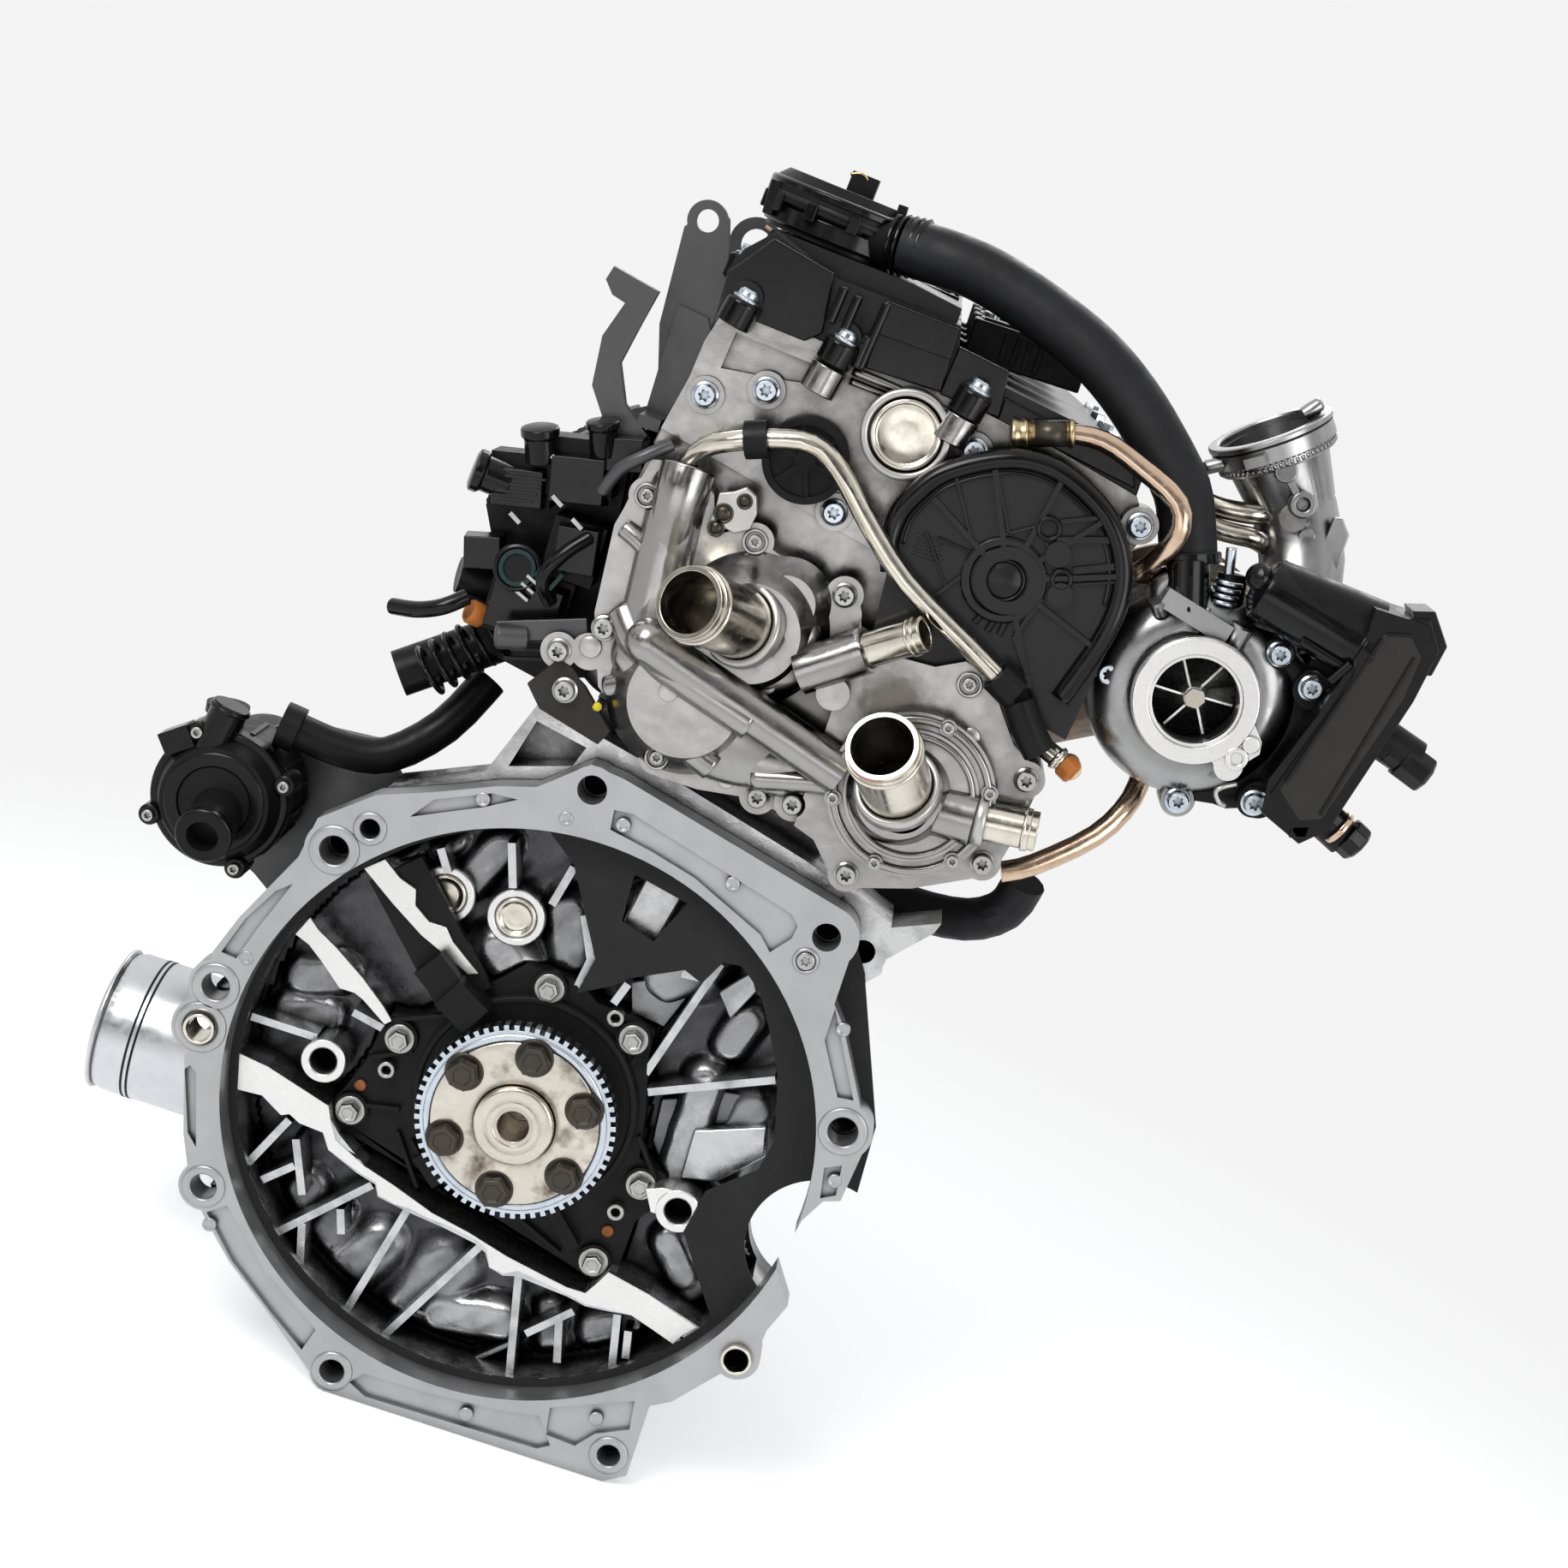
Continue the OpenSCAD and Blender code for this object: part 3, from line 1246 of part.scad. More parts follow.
module charge_elbow() {
    color(cast_c) difference() {
        union() {
            sweep(elbow_curve, 21, 24);
            aim(elbow_points[2], elbow_points[3]) {
                cylinder(r1 = 21, r2 = 27, h = norm(elbow_points[3] - elbow_points[2]));
                translate([0, 0, 30]) cylinder(r = 30.5, h = 7);
                for (a = [60, 240]) rotate(a) translate([26, -5, 31]) cube([10, 10, 5]);
            }
            bar([270, 54, 398], [276, 66, 398], 7);
        }
        sweep(elbow_curve, 16.5, 24);
        bar([272, 34, 326], elbow_points[0], 21.3);
        aim(elbow_points[2], elbow_points[3]) {
            cylinder(r1 = 16.5, r2 = 24, h = 30.5);
            translate([0, 0, 30]) cylinder(r = 24, h = 12);
        }
    }
}

// ---------- brackets and ancillaries ----------

module lifting_brackets() {
    color([0.42, 0.42, 0.42]) {
        // lifting plate with its eye
        prism(62, 67) difference() {
            union() {
                polygon([[-52, 392], [-54, 440], [-42, 456], [-34, 450], [-27, 426], [-27, 398], [-34, 352],
                    [-41, 352]]);
                translate([-44, 446]) circle(r = 10);
            }
            translate([-44, 446]) circle(r = 5.5);
        }
        // rear lifting lug
        prism(140, 146) difference() {
            union() {
                polygon([[-44, 396], [-36, 440], [-26, 430], [-28, 410], [-28, 396]]);
                translate([-24, 440]) circle(r = 14);
            }
            translate([-24, 440]) circle(r = 8);
        }
        // curved harness bracket
        prism(36, 44) polygon([[-80, 406], [-78, 413], [-54, 408], [-58, 390], [-62, 370], [-54, 352],
            [-38, 340], [-42, 330], [-58, 336], [-72, 356], [-74, 380], [-68, 398], [-75, 400]]);
        translate([-46, 36, 344]) cube([11, 30, 6]);
        prism(60, 150) polygon([[-46, 344], [-34, 344], [-33.2, 349], [-27.6, 375], [-25.6, 394], [-30, 402],
            [-46, 404]]);
        // small coated bracket beside the module
        difference() {
            prism(2, 6) polygon([[-57, 214], [-46, 230], [-30, 221], [-12, 204], [-16, 196], [-48, 204]]);
            prism(-30, 30) polygon(module_outline);
            for (p = [[-33, 238], [-47, 234]]) rod_y(p, 9.2, 0, 20);
        }
        // bracket of the auxiliary pump
        difference() {
            prism(88, 94) polygon([[-214, 70], [-206, 118], [-176, 138], [-132, 142], [-108, 120],
                [-64.5, 98], [-80, 40], [-150, 34], [-176, 52]]);
            rod_y([-195, 98], 20.2, 86, 96);
        }
    }
}

module intake_manifold() {
    color(black_c) {
        difference() {
            prism(56, 384) polygon([[-47, 340], [-66, 326], [-96, 308], [-108, 282], [-98, 262], [-108, 240],
                [-92, 212], [-60, 206], [-37, 214], [-37, 250], [-43, 296]]);
            prism(62, 378) polygon([[-50, 330], [-66, 320], [-92, 304], [-102, 282], [-92, 262], [-102, 240],
                [-88, 218], [-60, 212], [-43, 220], [-43, 250], [-50, 296]]);
            leaning() for (y = bore_ys) translate([-60, y, head_low + 39])
                rotate([0, -72, 0]) cylinder(r = 15, h = 60);
        }
        // connectors and stubs at the gearbox end
        translate([-104, 34, 286]) rotate([0, -12, 0]) cube([30, 25, 26]);
        translate([-78, 30, 300]) rotate([0, -12, 0]) cube([32, 28, 28]);
        translate([-92, 38, 226]) cube([40, 20, 34]);
        translate([-70, 30, 262]) cube([26, 28, 30]);
        bar([-128, 66, 184], [-84, 78, 216], 12);
        bar([-110, 46, 246], [-90, 52, 246], 9);
    }
}

module aux_coolant_pump() {
    c = [-195, 98];
    color(black_c) difference() {
        union() {
            rod_y(c, 35, 46, 88);
            cone_y(c, 28, 33, 36, 46);
            rod_y(c, 20, 87, 95);
            rod_y(c, 27, 94, 136);
            bar([-192, 40, 94], [-190, 8, 88], 13);
            bar([-203, 62, 116], [-206, 60, 143], 9);
            bar([-205.6, 60.3, 138], [-206, 60, 143], 11);
            for (a = [30, 120, 210, 300]) rod_y(c + 36 * [cos(a), sin(a)], 5, 42, 60);
        }
        bar([-190.6, 20, 90], [-189.9, 6, 87.6], 8);
        bar([-204.5, 61, 128], [-206.2, 60, 146], 6.5);
    }
}

module oil_filter() {
    color([0.66, 0.67, 0.69]) translate([-150, 94.5, -52]) rotate([0, -90, 0]) rotate_extrude($fn = 72)
        polygon([[0, 0], [filter_r - 3, 0], [filter_r, 3], [filter_r, 72], [filter_r - 2, 78],
            [filter_r - 8, 82], [0, 82]]);
}

// ---------- parts ----------

gearbox_flange_ring();
bell_back_plate();
dowel_sleeves();
cylinder_block();
core_plugs();
rear_seal_flange();
seal_flange_bolts();
crank_sensor();
main_bearing_caps();
upper_oil_pan();
lower_oil_pan();
crankshaft();
sensor_wheel();
crank_bolts();
crank_pulley();
pistons();
wrist_pins();
head_gasket();
cylinder_head();
valves();
cam_housing();
cam_cover();
housing_bolts();
cam_seal_cap();
intake_camshaft();
exhaust_camshaft();
intake_sprocket();
exhaust_sprocket();
timing_belt();
tensioner_roller();
timing_cover();
ignition_coils();
oil_separator();
coolant_module();
pump_cover();
coolant_necks();
module_bolts();
pump_rotor();
pump_drive_pulley();
pump_drive_belt();
pump_belt_cover();
coolant_pipe();
pipe_clamps();
turbo_coolant_pipes();
lower_hose();
compressor_housing();
compressor_inlet_ring();
compressor_wheel();
turbine_rotor();
bearing_housing();
turbine_housing();
wastegate_flap();
boost_actuator();
charge_elbow();
breather_hose();
lifting_brackets();
intake_manifold();
plastic_pipe();
aux_coolant_pump();
oil_filter();
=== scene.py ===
import math

import bmesh
import bpy
from mathutils import Matrix, Vector


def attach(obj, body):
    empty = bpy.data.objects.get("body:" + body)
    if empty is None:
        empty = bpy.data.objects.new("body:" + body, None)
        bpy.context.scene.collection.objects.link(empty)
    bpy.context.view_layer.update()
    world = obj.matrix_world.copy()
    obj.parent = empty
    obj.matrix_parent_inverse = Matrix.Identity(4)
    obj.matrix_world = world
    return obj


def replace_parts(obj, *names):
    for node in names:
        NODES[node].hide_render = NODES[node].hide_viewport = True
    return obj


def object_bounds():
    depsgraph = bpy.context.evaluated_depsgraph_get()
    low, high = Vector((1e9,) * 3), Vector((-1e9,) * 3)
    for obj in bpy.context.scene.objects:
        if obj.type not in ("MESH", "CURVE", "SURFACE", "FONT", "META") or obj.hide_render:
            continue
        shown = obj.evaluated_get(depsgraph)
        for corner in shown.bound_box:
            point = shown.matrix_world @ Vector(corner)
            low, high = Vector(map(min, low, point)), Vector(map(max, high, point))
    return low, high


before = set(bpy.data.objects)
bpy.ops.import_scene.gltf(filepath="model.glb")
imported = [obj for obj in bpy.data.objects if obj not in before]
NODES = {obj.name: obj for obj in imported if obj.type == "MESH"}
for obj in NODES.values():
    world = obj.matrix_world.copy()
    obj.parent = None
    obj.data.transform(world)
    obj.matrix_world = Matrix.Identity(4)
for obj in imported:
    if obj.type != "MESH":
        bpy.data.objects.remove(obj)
CAD_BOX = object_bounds()
MM = 0.001
LEAN = math.radians(12)
FRONT = (0, -1, 0)
REAR = (0, 1, 0)
PAPER = (0.90, 0.90, 0.90, 1)


def v(x, y, z):
    """A point of the engine frame, given in millimetres."""
    return Vector((x * MM, y * MM, z * MM))


# ---------- shader nodes ----------

def wire(tree, node, inputs):
    """Sets inputs of a node to plain values, or links them to outputs of other nodes."""
    for name, value in inputs.items():
        if isinstance(value, bpy.types.NodeSocket):
            tree.links.new(value, node.inputs[name])
        else:
            node.inputs[name].default_value = value
    return node


def add_node(tree, kind, inputs=None, **settings):
    """New shader node with its settings and its inputs."""
    node = tree.nodes.new("ShaderNode" + kind)
    for name, value in settings.items():
        setattr(node, name, value)
    return wire(tree, node, inputs or {})


def remap(tree, value, low, high, start=0.0, end=1.0, kind="LINEAR"):
    """value taken from start..end to low..high, clamped."""
    inputs = {"Value": value, "From Min": start, "From Max": end, "To Min": low, "To Max": high}
    return add_node(tree, "MapRange", inputs, interpolation_type=kind).outputs[0]


def compute(tree, operation, *values):
    """Output of a math node."""
    return add_node(tree, "Math", dict(enumerate(values)), operation=operation).outputs[0]


def mix_by(tree, factor, first, second):
    """Shader that goes from first to second as factor goes from 0 to 1."""
    return add_node(tree, "MixShader", {0: factor, 1: first.outputs[0], 2: second.outputs[0]})


# ---------- camera, light and floor ----------

def add_camera():
    """Camera a little above the crank axis, looking at the gearbox end, rolled like a hanging engine."""
    elevation = math.radians(12.74)
    roll = math.radians(18)
    forward = Vector((0, math.cos(elevation), -math.sin(elevation)))
    level_up = Vector((0, math.sin(elevation), math.cos(elevation)))
    right = math.cos(roll) * Vector((1, 0, 0)) + math.sin(roll) * level_up
    up = right.cross(forward)
    data = bpy.data.cameras.new("camera")
    data.lens = 58.98
    data.sensor_width = 36
    data.clip_end = 50
    camera = bpy.data.objects.new("camera", data)
    turn = Matrix((right, up, -forward)).transposed().to_4x4()
    camera.matrix_world = Matrix.Translation(v(75.25, -1203.83, 478.43)) @ turn
    bpy.context.scene.collection.objects.link(camera)
    bpy.context.scene.camera = camera


def add_lamp(name, place, target, size, power):
    """Square soft lamp at place, aimed at target."""
    data = bpy.data.lights.new(name, "AREA")
    data.energy = power
    data.size = size
    lamp = bpy.data.objects.new(name, data)
    lamp.location = place
    lamp.rotation_euler = (target - place).to_track_quat("-Z", "Y").to_euler()
    bpy.context.scene.collection.objects.link(lamp)


def add_light():
    """Four soft lamps and a studio that metal mirrors."""
    centre = v(40, 150, 120)
    add_lamp("key", v(-900, -1300, 1500), centre, 1.0, 30)
    add_lamp("fill", v(1300, -1200, 500), centre, 1.0, 11)
    add_lamp("back", v(300, 1600, 1500), centre, 1.0, 16)
    add_lamp("low", v(-200, -1500, -160), centre, 1.2, 4)
    world = bpy.data.worlds.new("studio")
    bpy.context.scene.world = world
    world.use_nodes = True
    tree = world.node_tree
    tree.nodes.clear()
    path = add_node(tree, "LightPath").outputs
    dim = add_node(tree, "Background", {"Color": (0.90, 0.94, 1.0, 1), "Strength": 0.40})
    room = add_node(tree, "Background", {"Color": (1, 1, 1, 1), "Strength": room_brightness(tree)})
    paper = add_node(tree, "Background", {"Color": PAPER, "Strength": 1.0})
    mirrored = compute(tree, "MAXIMUM", path["Is Glossy Ray"], path["Is Transmission Ray"])
    lit = mix_by(tree, mirrored, dim, room)
    shown = mix_by(tree, path["Is Camera Ray"], lit, paper)
    add_node(tree, "OutputWorld", {0: shown.outputs[0]})


def room_brightness(tree):
    """What metal mirrors: pale paper behind and above, a room of dark and bright patches in front."""
    place = add_node(tree, "TexCoord").outputs["Generated"]
    parts = add_node(tree, "SeparateXYZ", {0: place}).outputs
    sway = compute(tree, "MULTIPLY_ADD", parts["Y"], 0.55, parts["Z"])
    patches = add_node(tree, "TexNoise", {"Scale": 5.0, "Detail": 1.5, "Vector": place})
    behind = remap(tree, sway, 0.0, 0.95, -0.20, 0.75, "SMOOTHSTEP")
    ahead = remap(tree, patches.outputs["Fac"], 0.0, 1.2, 0.50, 0.66, "SMOOTHSTEP")
    return compute(tree, "MAXIMUM", behind, ahead)


def add_floor():
    """Pale paper floor that keeps the contact shadow and fades into the background."""
    half = 12
    low = CAD_BOX[0].z - 0.0005
    mesh = bpy.data.meshes.new("floor")
    corners = [(-half, -half, low), (half, -half, low), (half, half, low), (-half, half, low)]
    mesh.from_pydata(corners, [], [(0, 1, 2, 3)])
    floor = bpy.data.objects.new("floor", mesh)
    bpy.context.scene.collection.objects.link(floor)
    material = bpy.data.materials.new("floor_paper")
    material.use_nodes = True
    tree = material.node_tree
    path = add_node(tree, "LightPath").outputs
    seen = compute(tree, "MAXIMUM", path["Is Camera Ray"], path["Is Glossy Ray"])
    shader = wire(tree, tree.nodes["Principled BSDF"], {
        "Base Color": (0.86, 0.86, 0.86, 1), "Roughness": 0.95, "Specular IOR Level": 0.1,
        "Emission Color": (1, 1, 1, 1), "Emission Strength": compute(tree, "MULTIPLY", seen, 0.42)})
    place = add_node(tree, "TexCoord").outputs["Object"]
    distance = add_node(tree, "VectorMath", {0: place}, operation="LENGTH").outputs["Value"]
    fade = remap(tree, distance, 0.0, 1.0, 0.30, 1.10, "SMOOTHSTEP")
    glow = add_node(tree, "Emission", {"Color": PAPER})
    mixed = mix_by(tree, compute(tree, "MULTIPLY", fade, seen), shader, glow)
    wire(tree, tree.nodes["Material Output"], {"Surface": mixed.outputs[0]})
    mesh.materials.append(material)


# ---------- materials ----------

class Shade:
    """A node material under construction, with object coordinates in metres."""

    def __init__(self, name, color, metallic, roughness):
        self.material = bpy.data.materials.new(name)
        self.material.use_nodes = True
        self.tree = self.material.node_tree
        self.color = (*color, 1)
        self.place = add_node(self.tree, "TexCoord").outputs["Object"]
        self.bumps = {}
        self.set({"Metallic": metallic, "Roughness": roughness, "Base Color": self.color})

    def set(self, inputs):
        """Sets or links inputs of the material's shader."""
        wire(self.tree, self.tree.nodes["Principled BSDF"], inputs)

    def noise(self, scale, detail, stretch=None):
        """Grey noise with features about 1/scale metres wide."""
        place = self.place
        if stretch:
            place = add_node(self.tree, "Mapping", {"Vector": place, "Scale": stretch}).outputs[0]
        inputs = {"Scale": scale, "Detail": detail, "Roughness": 0.6, "Vector": place}
        return add_node(self.tree, "TexNoise", inputs).outputs["Fac"]

    def tint(self, factor, color):
        """Mixes color over the base by factor."""
        inputs = {"Factor": factor, "A": self.color, "B": (*color, 1)}
        self.color = add_node(self.tree, "Mix", inputs, data_type="RGBA").outputs["Result"]
        self.set({"Base Color": self.color})

    def patches(self, scale, detail, most, start, end, color):
        """Mixes in color up to most where noise rises from start to end."""
        self.tint(remap(self.tree, self.noise(scale, detail), 0, most, start, end), color)

    def paint_crevice_shade(self, color, reach, low=0.25, high=0.8):
        """Painted shade: darkens the colour towards color where the surface is closed in within reach
        millimetres.
        """
        shut = add_node(self.tree, "AmbientOcclusion", {"Distance": reach * MM}, samples=6).outputs["AO"]
        self.tint(remap(self.tree, shut, 1, 0, low, high), color)

    def rough(self, scale, detail, low, high):
        """Roughness that wanders from low to high."""
        self.set({"Roughness": remap(self.tree, self.noise(scale, detail), low, high, 0.3, 0.7)})

    def bump(self, value, height, strength=0.5):
        """Raises the surface by value times height, in millimetres."""
        inputs = {"Strength": strength, "Distance": height * MM, "Height": value, **self.bumps}
        self.bumps = {"Normal": add_node(self.tree, "Bump", inputs).outputs[0]}
        self.set(self.bumps)


def cast_metal(name, color, crevice_shade, roughness, metallic, grain, reach):
    """Die-cast aluminium: fine grain, soft mottling and painted shade in the corners."""
    s = Shade(name, color, metallic, roughness)
    s.patches(38, 4, 0.45, 0.42, 0.75, [c * 0.74 for c in color])
    # Painted shade: the corners darken towards crevice_shade
    s.paint_crevice_shade(crevice_shade, reach, 0.12, 0.72)
    s.rough(120, 4, roughness - 0.05, roughness + 0.09)
    s.bump(s.noise(900, 2), 0.05 * grain)
    s.bump(s.noise(48, 2), 1.0 * grain)
    return s.material


def milled_metal(name, color, roughness):
    """Machined face with faint tool marks and painted shade in its corners."""
    s = Shade(name, color, 0.95, roughness)
    s.patches(60, 3, 0.3, 0.4, 0.7, [c * 0.86 for c in color])
    # Painted shade in the corners of the machined face
    s.paint_crevice_shade([c * 0.15 for c in color], 4)
    s.rough(300, 3, roughness - 0.04, roughness + 0.06)
    s.bump(s.noise(1, 2, (4, 4, 900)), 0.03, 0.6)
    return s.material


def bright_plate(name, color, roughness, spots):
    """Plated steel, with slightly dull patches and painted shade in the corners."""
    s = Shade(name, color, 1.0, roughness)
    s.patches(90, 4, 0.35, 0.5, 0.75, spots)
    # Painted shade in the corners of the plate
    s.paint_crevice_shade([c * 0.2 for c in color], 3)
    s.rough(210, 3, roughness - 0.05, roughness + 0.10)
    s.bump(s.noise(450, 2), 0.012, 0.4)
    return s.material


def oiled_iron(name, color, roughness):
    """Dark iron or phosphated steel with brown heat and oil stains, and painted shade in the corners."""
    s = Shade(name, color, 0.8, roughness)
    s.patches(70, 4, 0.6, 0.45, 0.7, (color[0] * 1.5, color[1] * 1.2, color[2] * 0.9))
    # Painted shade in the corners of the iron
    s.paint_crevice_shade((0.02, 0.016, 0.012), 4)
    s.rough(260, 4, roughness - 0.12, roughness + 0.2)
    s.bump(s.noise(700, 3), 0.12, 0.6)
    return s.material


def moulded(name, color, roughness, grain, coat=0.0):
    """Black moulded polymer with a fine grain and dust."""
    s = Shade(name, color, 0.0, roughness)
    s.patches(45, 4, 0.3, 0.5, 0.8, [min(1, c * 1.8 + 0.004) for c in color])
    s.rough(150, 4, roughness - 0.08, roughness + 0.14)
    s.bump(s.noise(1500, 2), grain)
    s.bump(s.noise(30, 2), 0.5)
    s.set({"Specular IOR Level": 0.15, "Coat Weight": coat, "Coat Roughness": 0.12})
    return s.material


def hose_rubber(name, color):
    """Dull rubber with a soft grain."""
    s = Shade(name, color, 0.0, 0.55)
    s.patches(30, 5, 0.6, 0.4, 0.8, (0.016, 0.0165, 0.018))
    s.rough(90, 4, 0.42, 0.68)
    s.bump(s.noise(600, 3), 0.08)
    s.set({"Specular IOR Level": 0.24})
    return s.material


def recess_casting(name):
    """Oily cast wall of the clutch recess, with painted shade that darkens it the deeper it lies and in its
    corners.
    """
    s = Shade(name, (0.58, 0.58, 0.585), 0.95, 0.24)
    # Painted shade: the wall darkens the deeper it lies in the recess
    depth = add_node(s.tree, "SeparateXYZ", {0: s.place}).outputs["Y"]
    s.tint(remap(s.tree, depth, 0, 1, 0.029, 0.040), (0.075, 0.075, 0.078))
    s.patches(45, 4, 0.6, 0.45, 0.75, (0.05, 0.05, 0.052))
    # Painted shade in the corners of the recess
    s.paint_crevice_shade((0.004, 0.004, 0.004), 16, 0.15, 0.75)
    s.rough(130, 4, 0.16, 0.42)
    s.bump(s.noise(900, 2), 0.14)
    s.bump(s.noise(170, 3), 0.3)
    return s.material


def stained_steel(name):
    """Ground crank flange with brown oil and heat stains, lighter patches of painted highlight and painted
    shade in the corners.
    """
    s = Shade(name, (0.62, 0.58, 0.51), 1.0, 0.24)
    s.patches(30, 4, 0.92, 0.52, 0.64, (0.10, 0.068, 0.038))
    # Painted highlight: lighter silver patches stand in for highlights on the ground steel
    s.patches(75, 4, 0.7, 0.55, 0.72, (0.74, 0.71, 0.64))
    # Painted shade in the corners of the flange
    s.paint_crevice_shade((0.03, 0.02, 0.012), 5)
    s.rough(150, 4, 0.2, 0.46)
    s.bump(s.noise(500, 2), 0.04, 0.4)
    return s.material


# The third colour of each cast_metal is the painted shade of its corners
MATERIALS = {
    "flange": cast_metal("flange_casting", (0.42, 0.42, 0.425), (0.02, 0.02, 0.02), 0.36, 0.85, 0.8, 11),
    "cast": cast_metal("light_casting", (0.34, 0.335, 0.328), (0.008, 0.007, 0.006), 0.20, 1.0, 1.0, 26),
    "dark_cast": cast_metal("bell_casting", (0.20, 0.20, 0.21), (0.006, 0.006, 0.006), 0.26, 0.95, 1.6, 16),
    "pale_cast": cast_metal("pale_casting", (0.50, 0.49, 0.47), (0.05, 0.05, 0.045), 0.34, 0.85, 0.6, 4),
    "satin_cast": cast_metal("satin_casting", (0.34, 0.34, 0.34), (0.01, 0.01, 0.01), 0.28, 1.0, 0.35, 18),
    "bracket": cast_metal("grey_sheet", (0.085, 0.085, 0.087), (0.02, 0.02, 0.02), 0.38, 0.7, 0.5, 5),
    "recess": recess_casting("recess_casting"),
    "crank_face": stained_steel("stained_steel"),
    "milled": milled_metal("milled_face", (0.74, 0.735, 0.72), 0.28),
    "steel_bright": bright_plate("turned_boss", (0.62, 0.58, 0.50), 0.24, (0.34, 0.27, 0.18)),
    "nickel": bright_plate("nickel_plate", (0.66, 0.62, 0.54), 0.18, (0.44, 0.39, 0.32)),
    "zinc": bright_plate("zinc_plate", (0.55, 0.60, 0.66), 0.24, (0.35, 0.36, 0.38)),
    "bolt": bright_plate("bolt_plate", (0.42, 0.42, 0.41), 0.3, (0.2, 0.18, 0.14)),
    "steel": bright_plate("ground_steel", (0.52, 0.48, 0.42), 0.24, (0.30, 0.22, 0.14)),
    "copper": bright_plate("coppery_tube", (0.62, 0.46, 0.34), 0.2, (0.35, 0.2, 0.12)),
    "gold": bright_plate("gold_wire", (0.50, 0.40, 0.24), 0.28, (0.3, 0.22, 0.12)),
    "can": bright_plate("filter_can", (0.60, 0.61, 0.63), 0.3, (0.5, 0.5, 0.52)),
    "rust": oiled_iron("rusty_dowel", (0.30, 0.12, 0.05), 0.6),
    "dark_bolt": oiled_iron("phosphate_bolt", (0.055, 0.05, 0.042), 0.34),
    "iron": oiled_iron("brown_iron", (0.16, 0.13, 0.11), 0.5),
    "black_sheet": moulded("black_sheet", (0.016, 0.016, 0.016), 0.5, 0.05),
    "plastic": moulded("matte_polymer", (0.007, 0.007, 0.0075), 0.36, 0.05),
    "gloss": moulded("gloss_polymer", (0.003, 0.003, 0.003), 0.2, 0.02, 0.25),
    "panel": moulded("dusty_polymer", (0.011, 0.011, 0.0115), 0.34, 0.05, 0.15),
    "lid": moulded("brown_polymer", (0.024, 0.0225, 0.021), 0.36, 0.05),
    "paint": moulded("yellow_paint", (0.62, 0.50, 0.04), 0.5, 0.02),
    "orange": moulded("orange_cap", (0.42, 0.14, 0.03), 0.4, 0.03),
    "teal": moulded("teal_insert", (0.018, 0.034, 0.034), 0.4, 0.03),
    "sealant": moulded("pink_sealant", (0.42, 0.20, 0.18), 0.4, 0.05),
    "rubber": hose_rubber("hose_rubber", (0.007, 0.007, 0.008)),
}

FINISH = {
    "flange": ["gearbox_flange_ring"],
    "black_sheet": ["bell_back_plate", "lower_oil_pan", "crank_pulley"],
    "nickel": ["dowel_sleeves", "core_plugs", "coolant_necks", "coolant_pipe"],
    "recess": ["cylinder_block", "upper_oil_pan"],
    "plastic": ["rear_seal_flange", "crank_sensor", "cam_seal_cap", "timing_cover", "ignition_coils",
                "oil_separator", "pipe_clamps", "boost_actuator", "intake_manifold", "plastic_pipe",
                "aux_coolant_pump"],
    "bolt": ["seal_flange_bolts", "housing_bolts", "module_bolts"],
    "dark_bolt": ["crank_bolts"],
    "steel": ["crankshaft", "wrist_pins", "valves", "intake_camshaft", "exhaust_camshaft",
              "tensioner_roller", "pump_drive_pulley", "turbine_rotor", "wastegate_flap", "head_gasket"],
    "zinc": ["sensor_wheel"],
    "iron": ["main_bearing_caps", "intake_sprocket", "exhaust_sprocket", "bearing_housing",
             "turbine_housing"],
    "milled": ["pistons", "compressor_wheel", "compressor_inlet_ring"],
    "cast": ["cylinder_head", "cam_housing", "coolant_module", "pump_cover"],
    "satin_cast": ["compressor_housing", "charge_elbow"],
    "gloss": ["pump_rotor"],
    "panel": ["cam_cover", "pump_belt_cover"],
    "rubber": ["timing_belt", "pump_drive_belt", "lower_hose", "breather_hose"],
    "copper": ["turbo_coolant_pipes"],
    "bracket": ["lifting_brackets"],
    "can": ["oil_filter"],
}

# Width of the rounded edges of the CAD nodes
EDGE = {"gearbox_flange_ring": 1.2, "cylinder_block": 1.0, "upper_oil_pan": 1.0, "coolant_module": 1.4,
        "pump_cover": 1.2, "cam_housing": 1.0, "cam_cover": 1.0, "intake_manifold": 1.6,
        "boost_actuator": 1.6, "compressor_housing": 0.8, "aux_coolant_pump": 1.2, "ignition_coils": 1.2,
        "oil_separator": 1.2, "timing_cover": 1.5, "lower_oil_pan": 2.0, "cylinder_head": 1.0}
PLAIN_EDGE = 0.4


def bevel(obj, width, angle):
    """Rounds the edges sharper than angle degrees by width millimetres."""
    modifier = obj.modifiers.new("round", "BEVEL")
    modifier.width = width * MM
    modifier.segments = 2
    modifier.limit_method = "ANGLE"
    modifier.angle_limit = math.radians(angle)
    modifier.harden_normals = True
    modifier.use_clamp_overlap = True


def dress_node(name, finish):
    """Gives a CAD node its material, welds its mesh and rounds its edges."""
    obj = NODES[name]
    obj.data.materials.clear()
    obj.data.materials.append(MATERIALS[finish])
    split = obj.data.attributes.get("custom_normal")
    if split:
        obj.data.attributes.remove(split)
    for face in obj.data.polygons:
        face.use_smooth = True
    weld = obj.modifiers.new("weld", "WELD")
    weld.merge_threshold = 0.00001
    flat = obj.modifiers.new("flat_faces", "DECIMATE")
    flat.decimate_type = "DISSOLVE"
    flat.angle_limit = math.radians(0.8)
    bevel(obj, EDGE.get(name, PLAIN_EDGE), 32)


# ---------- building pieces ----------

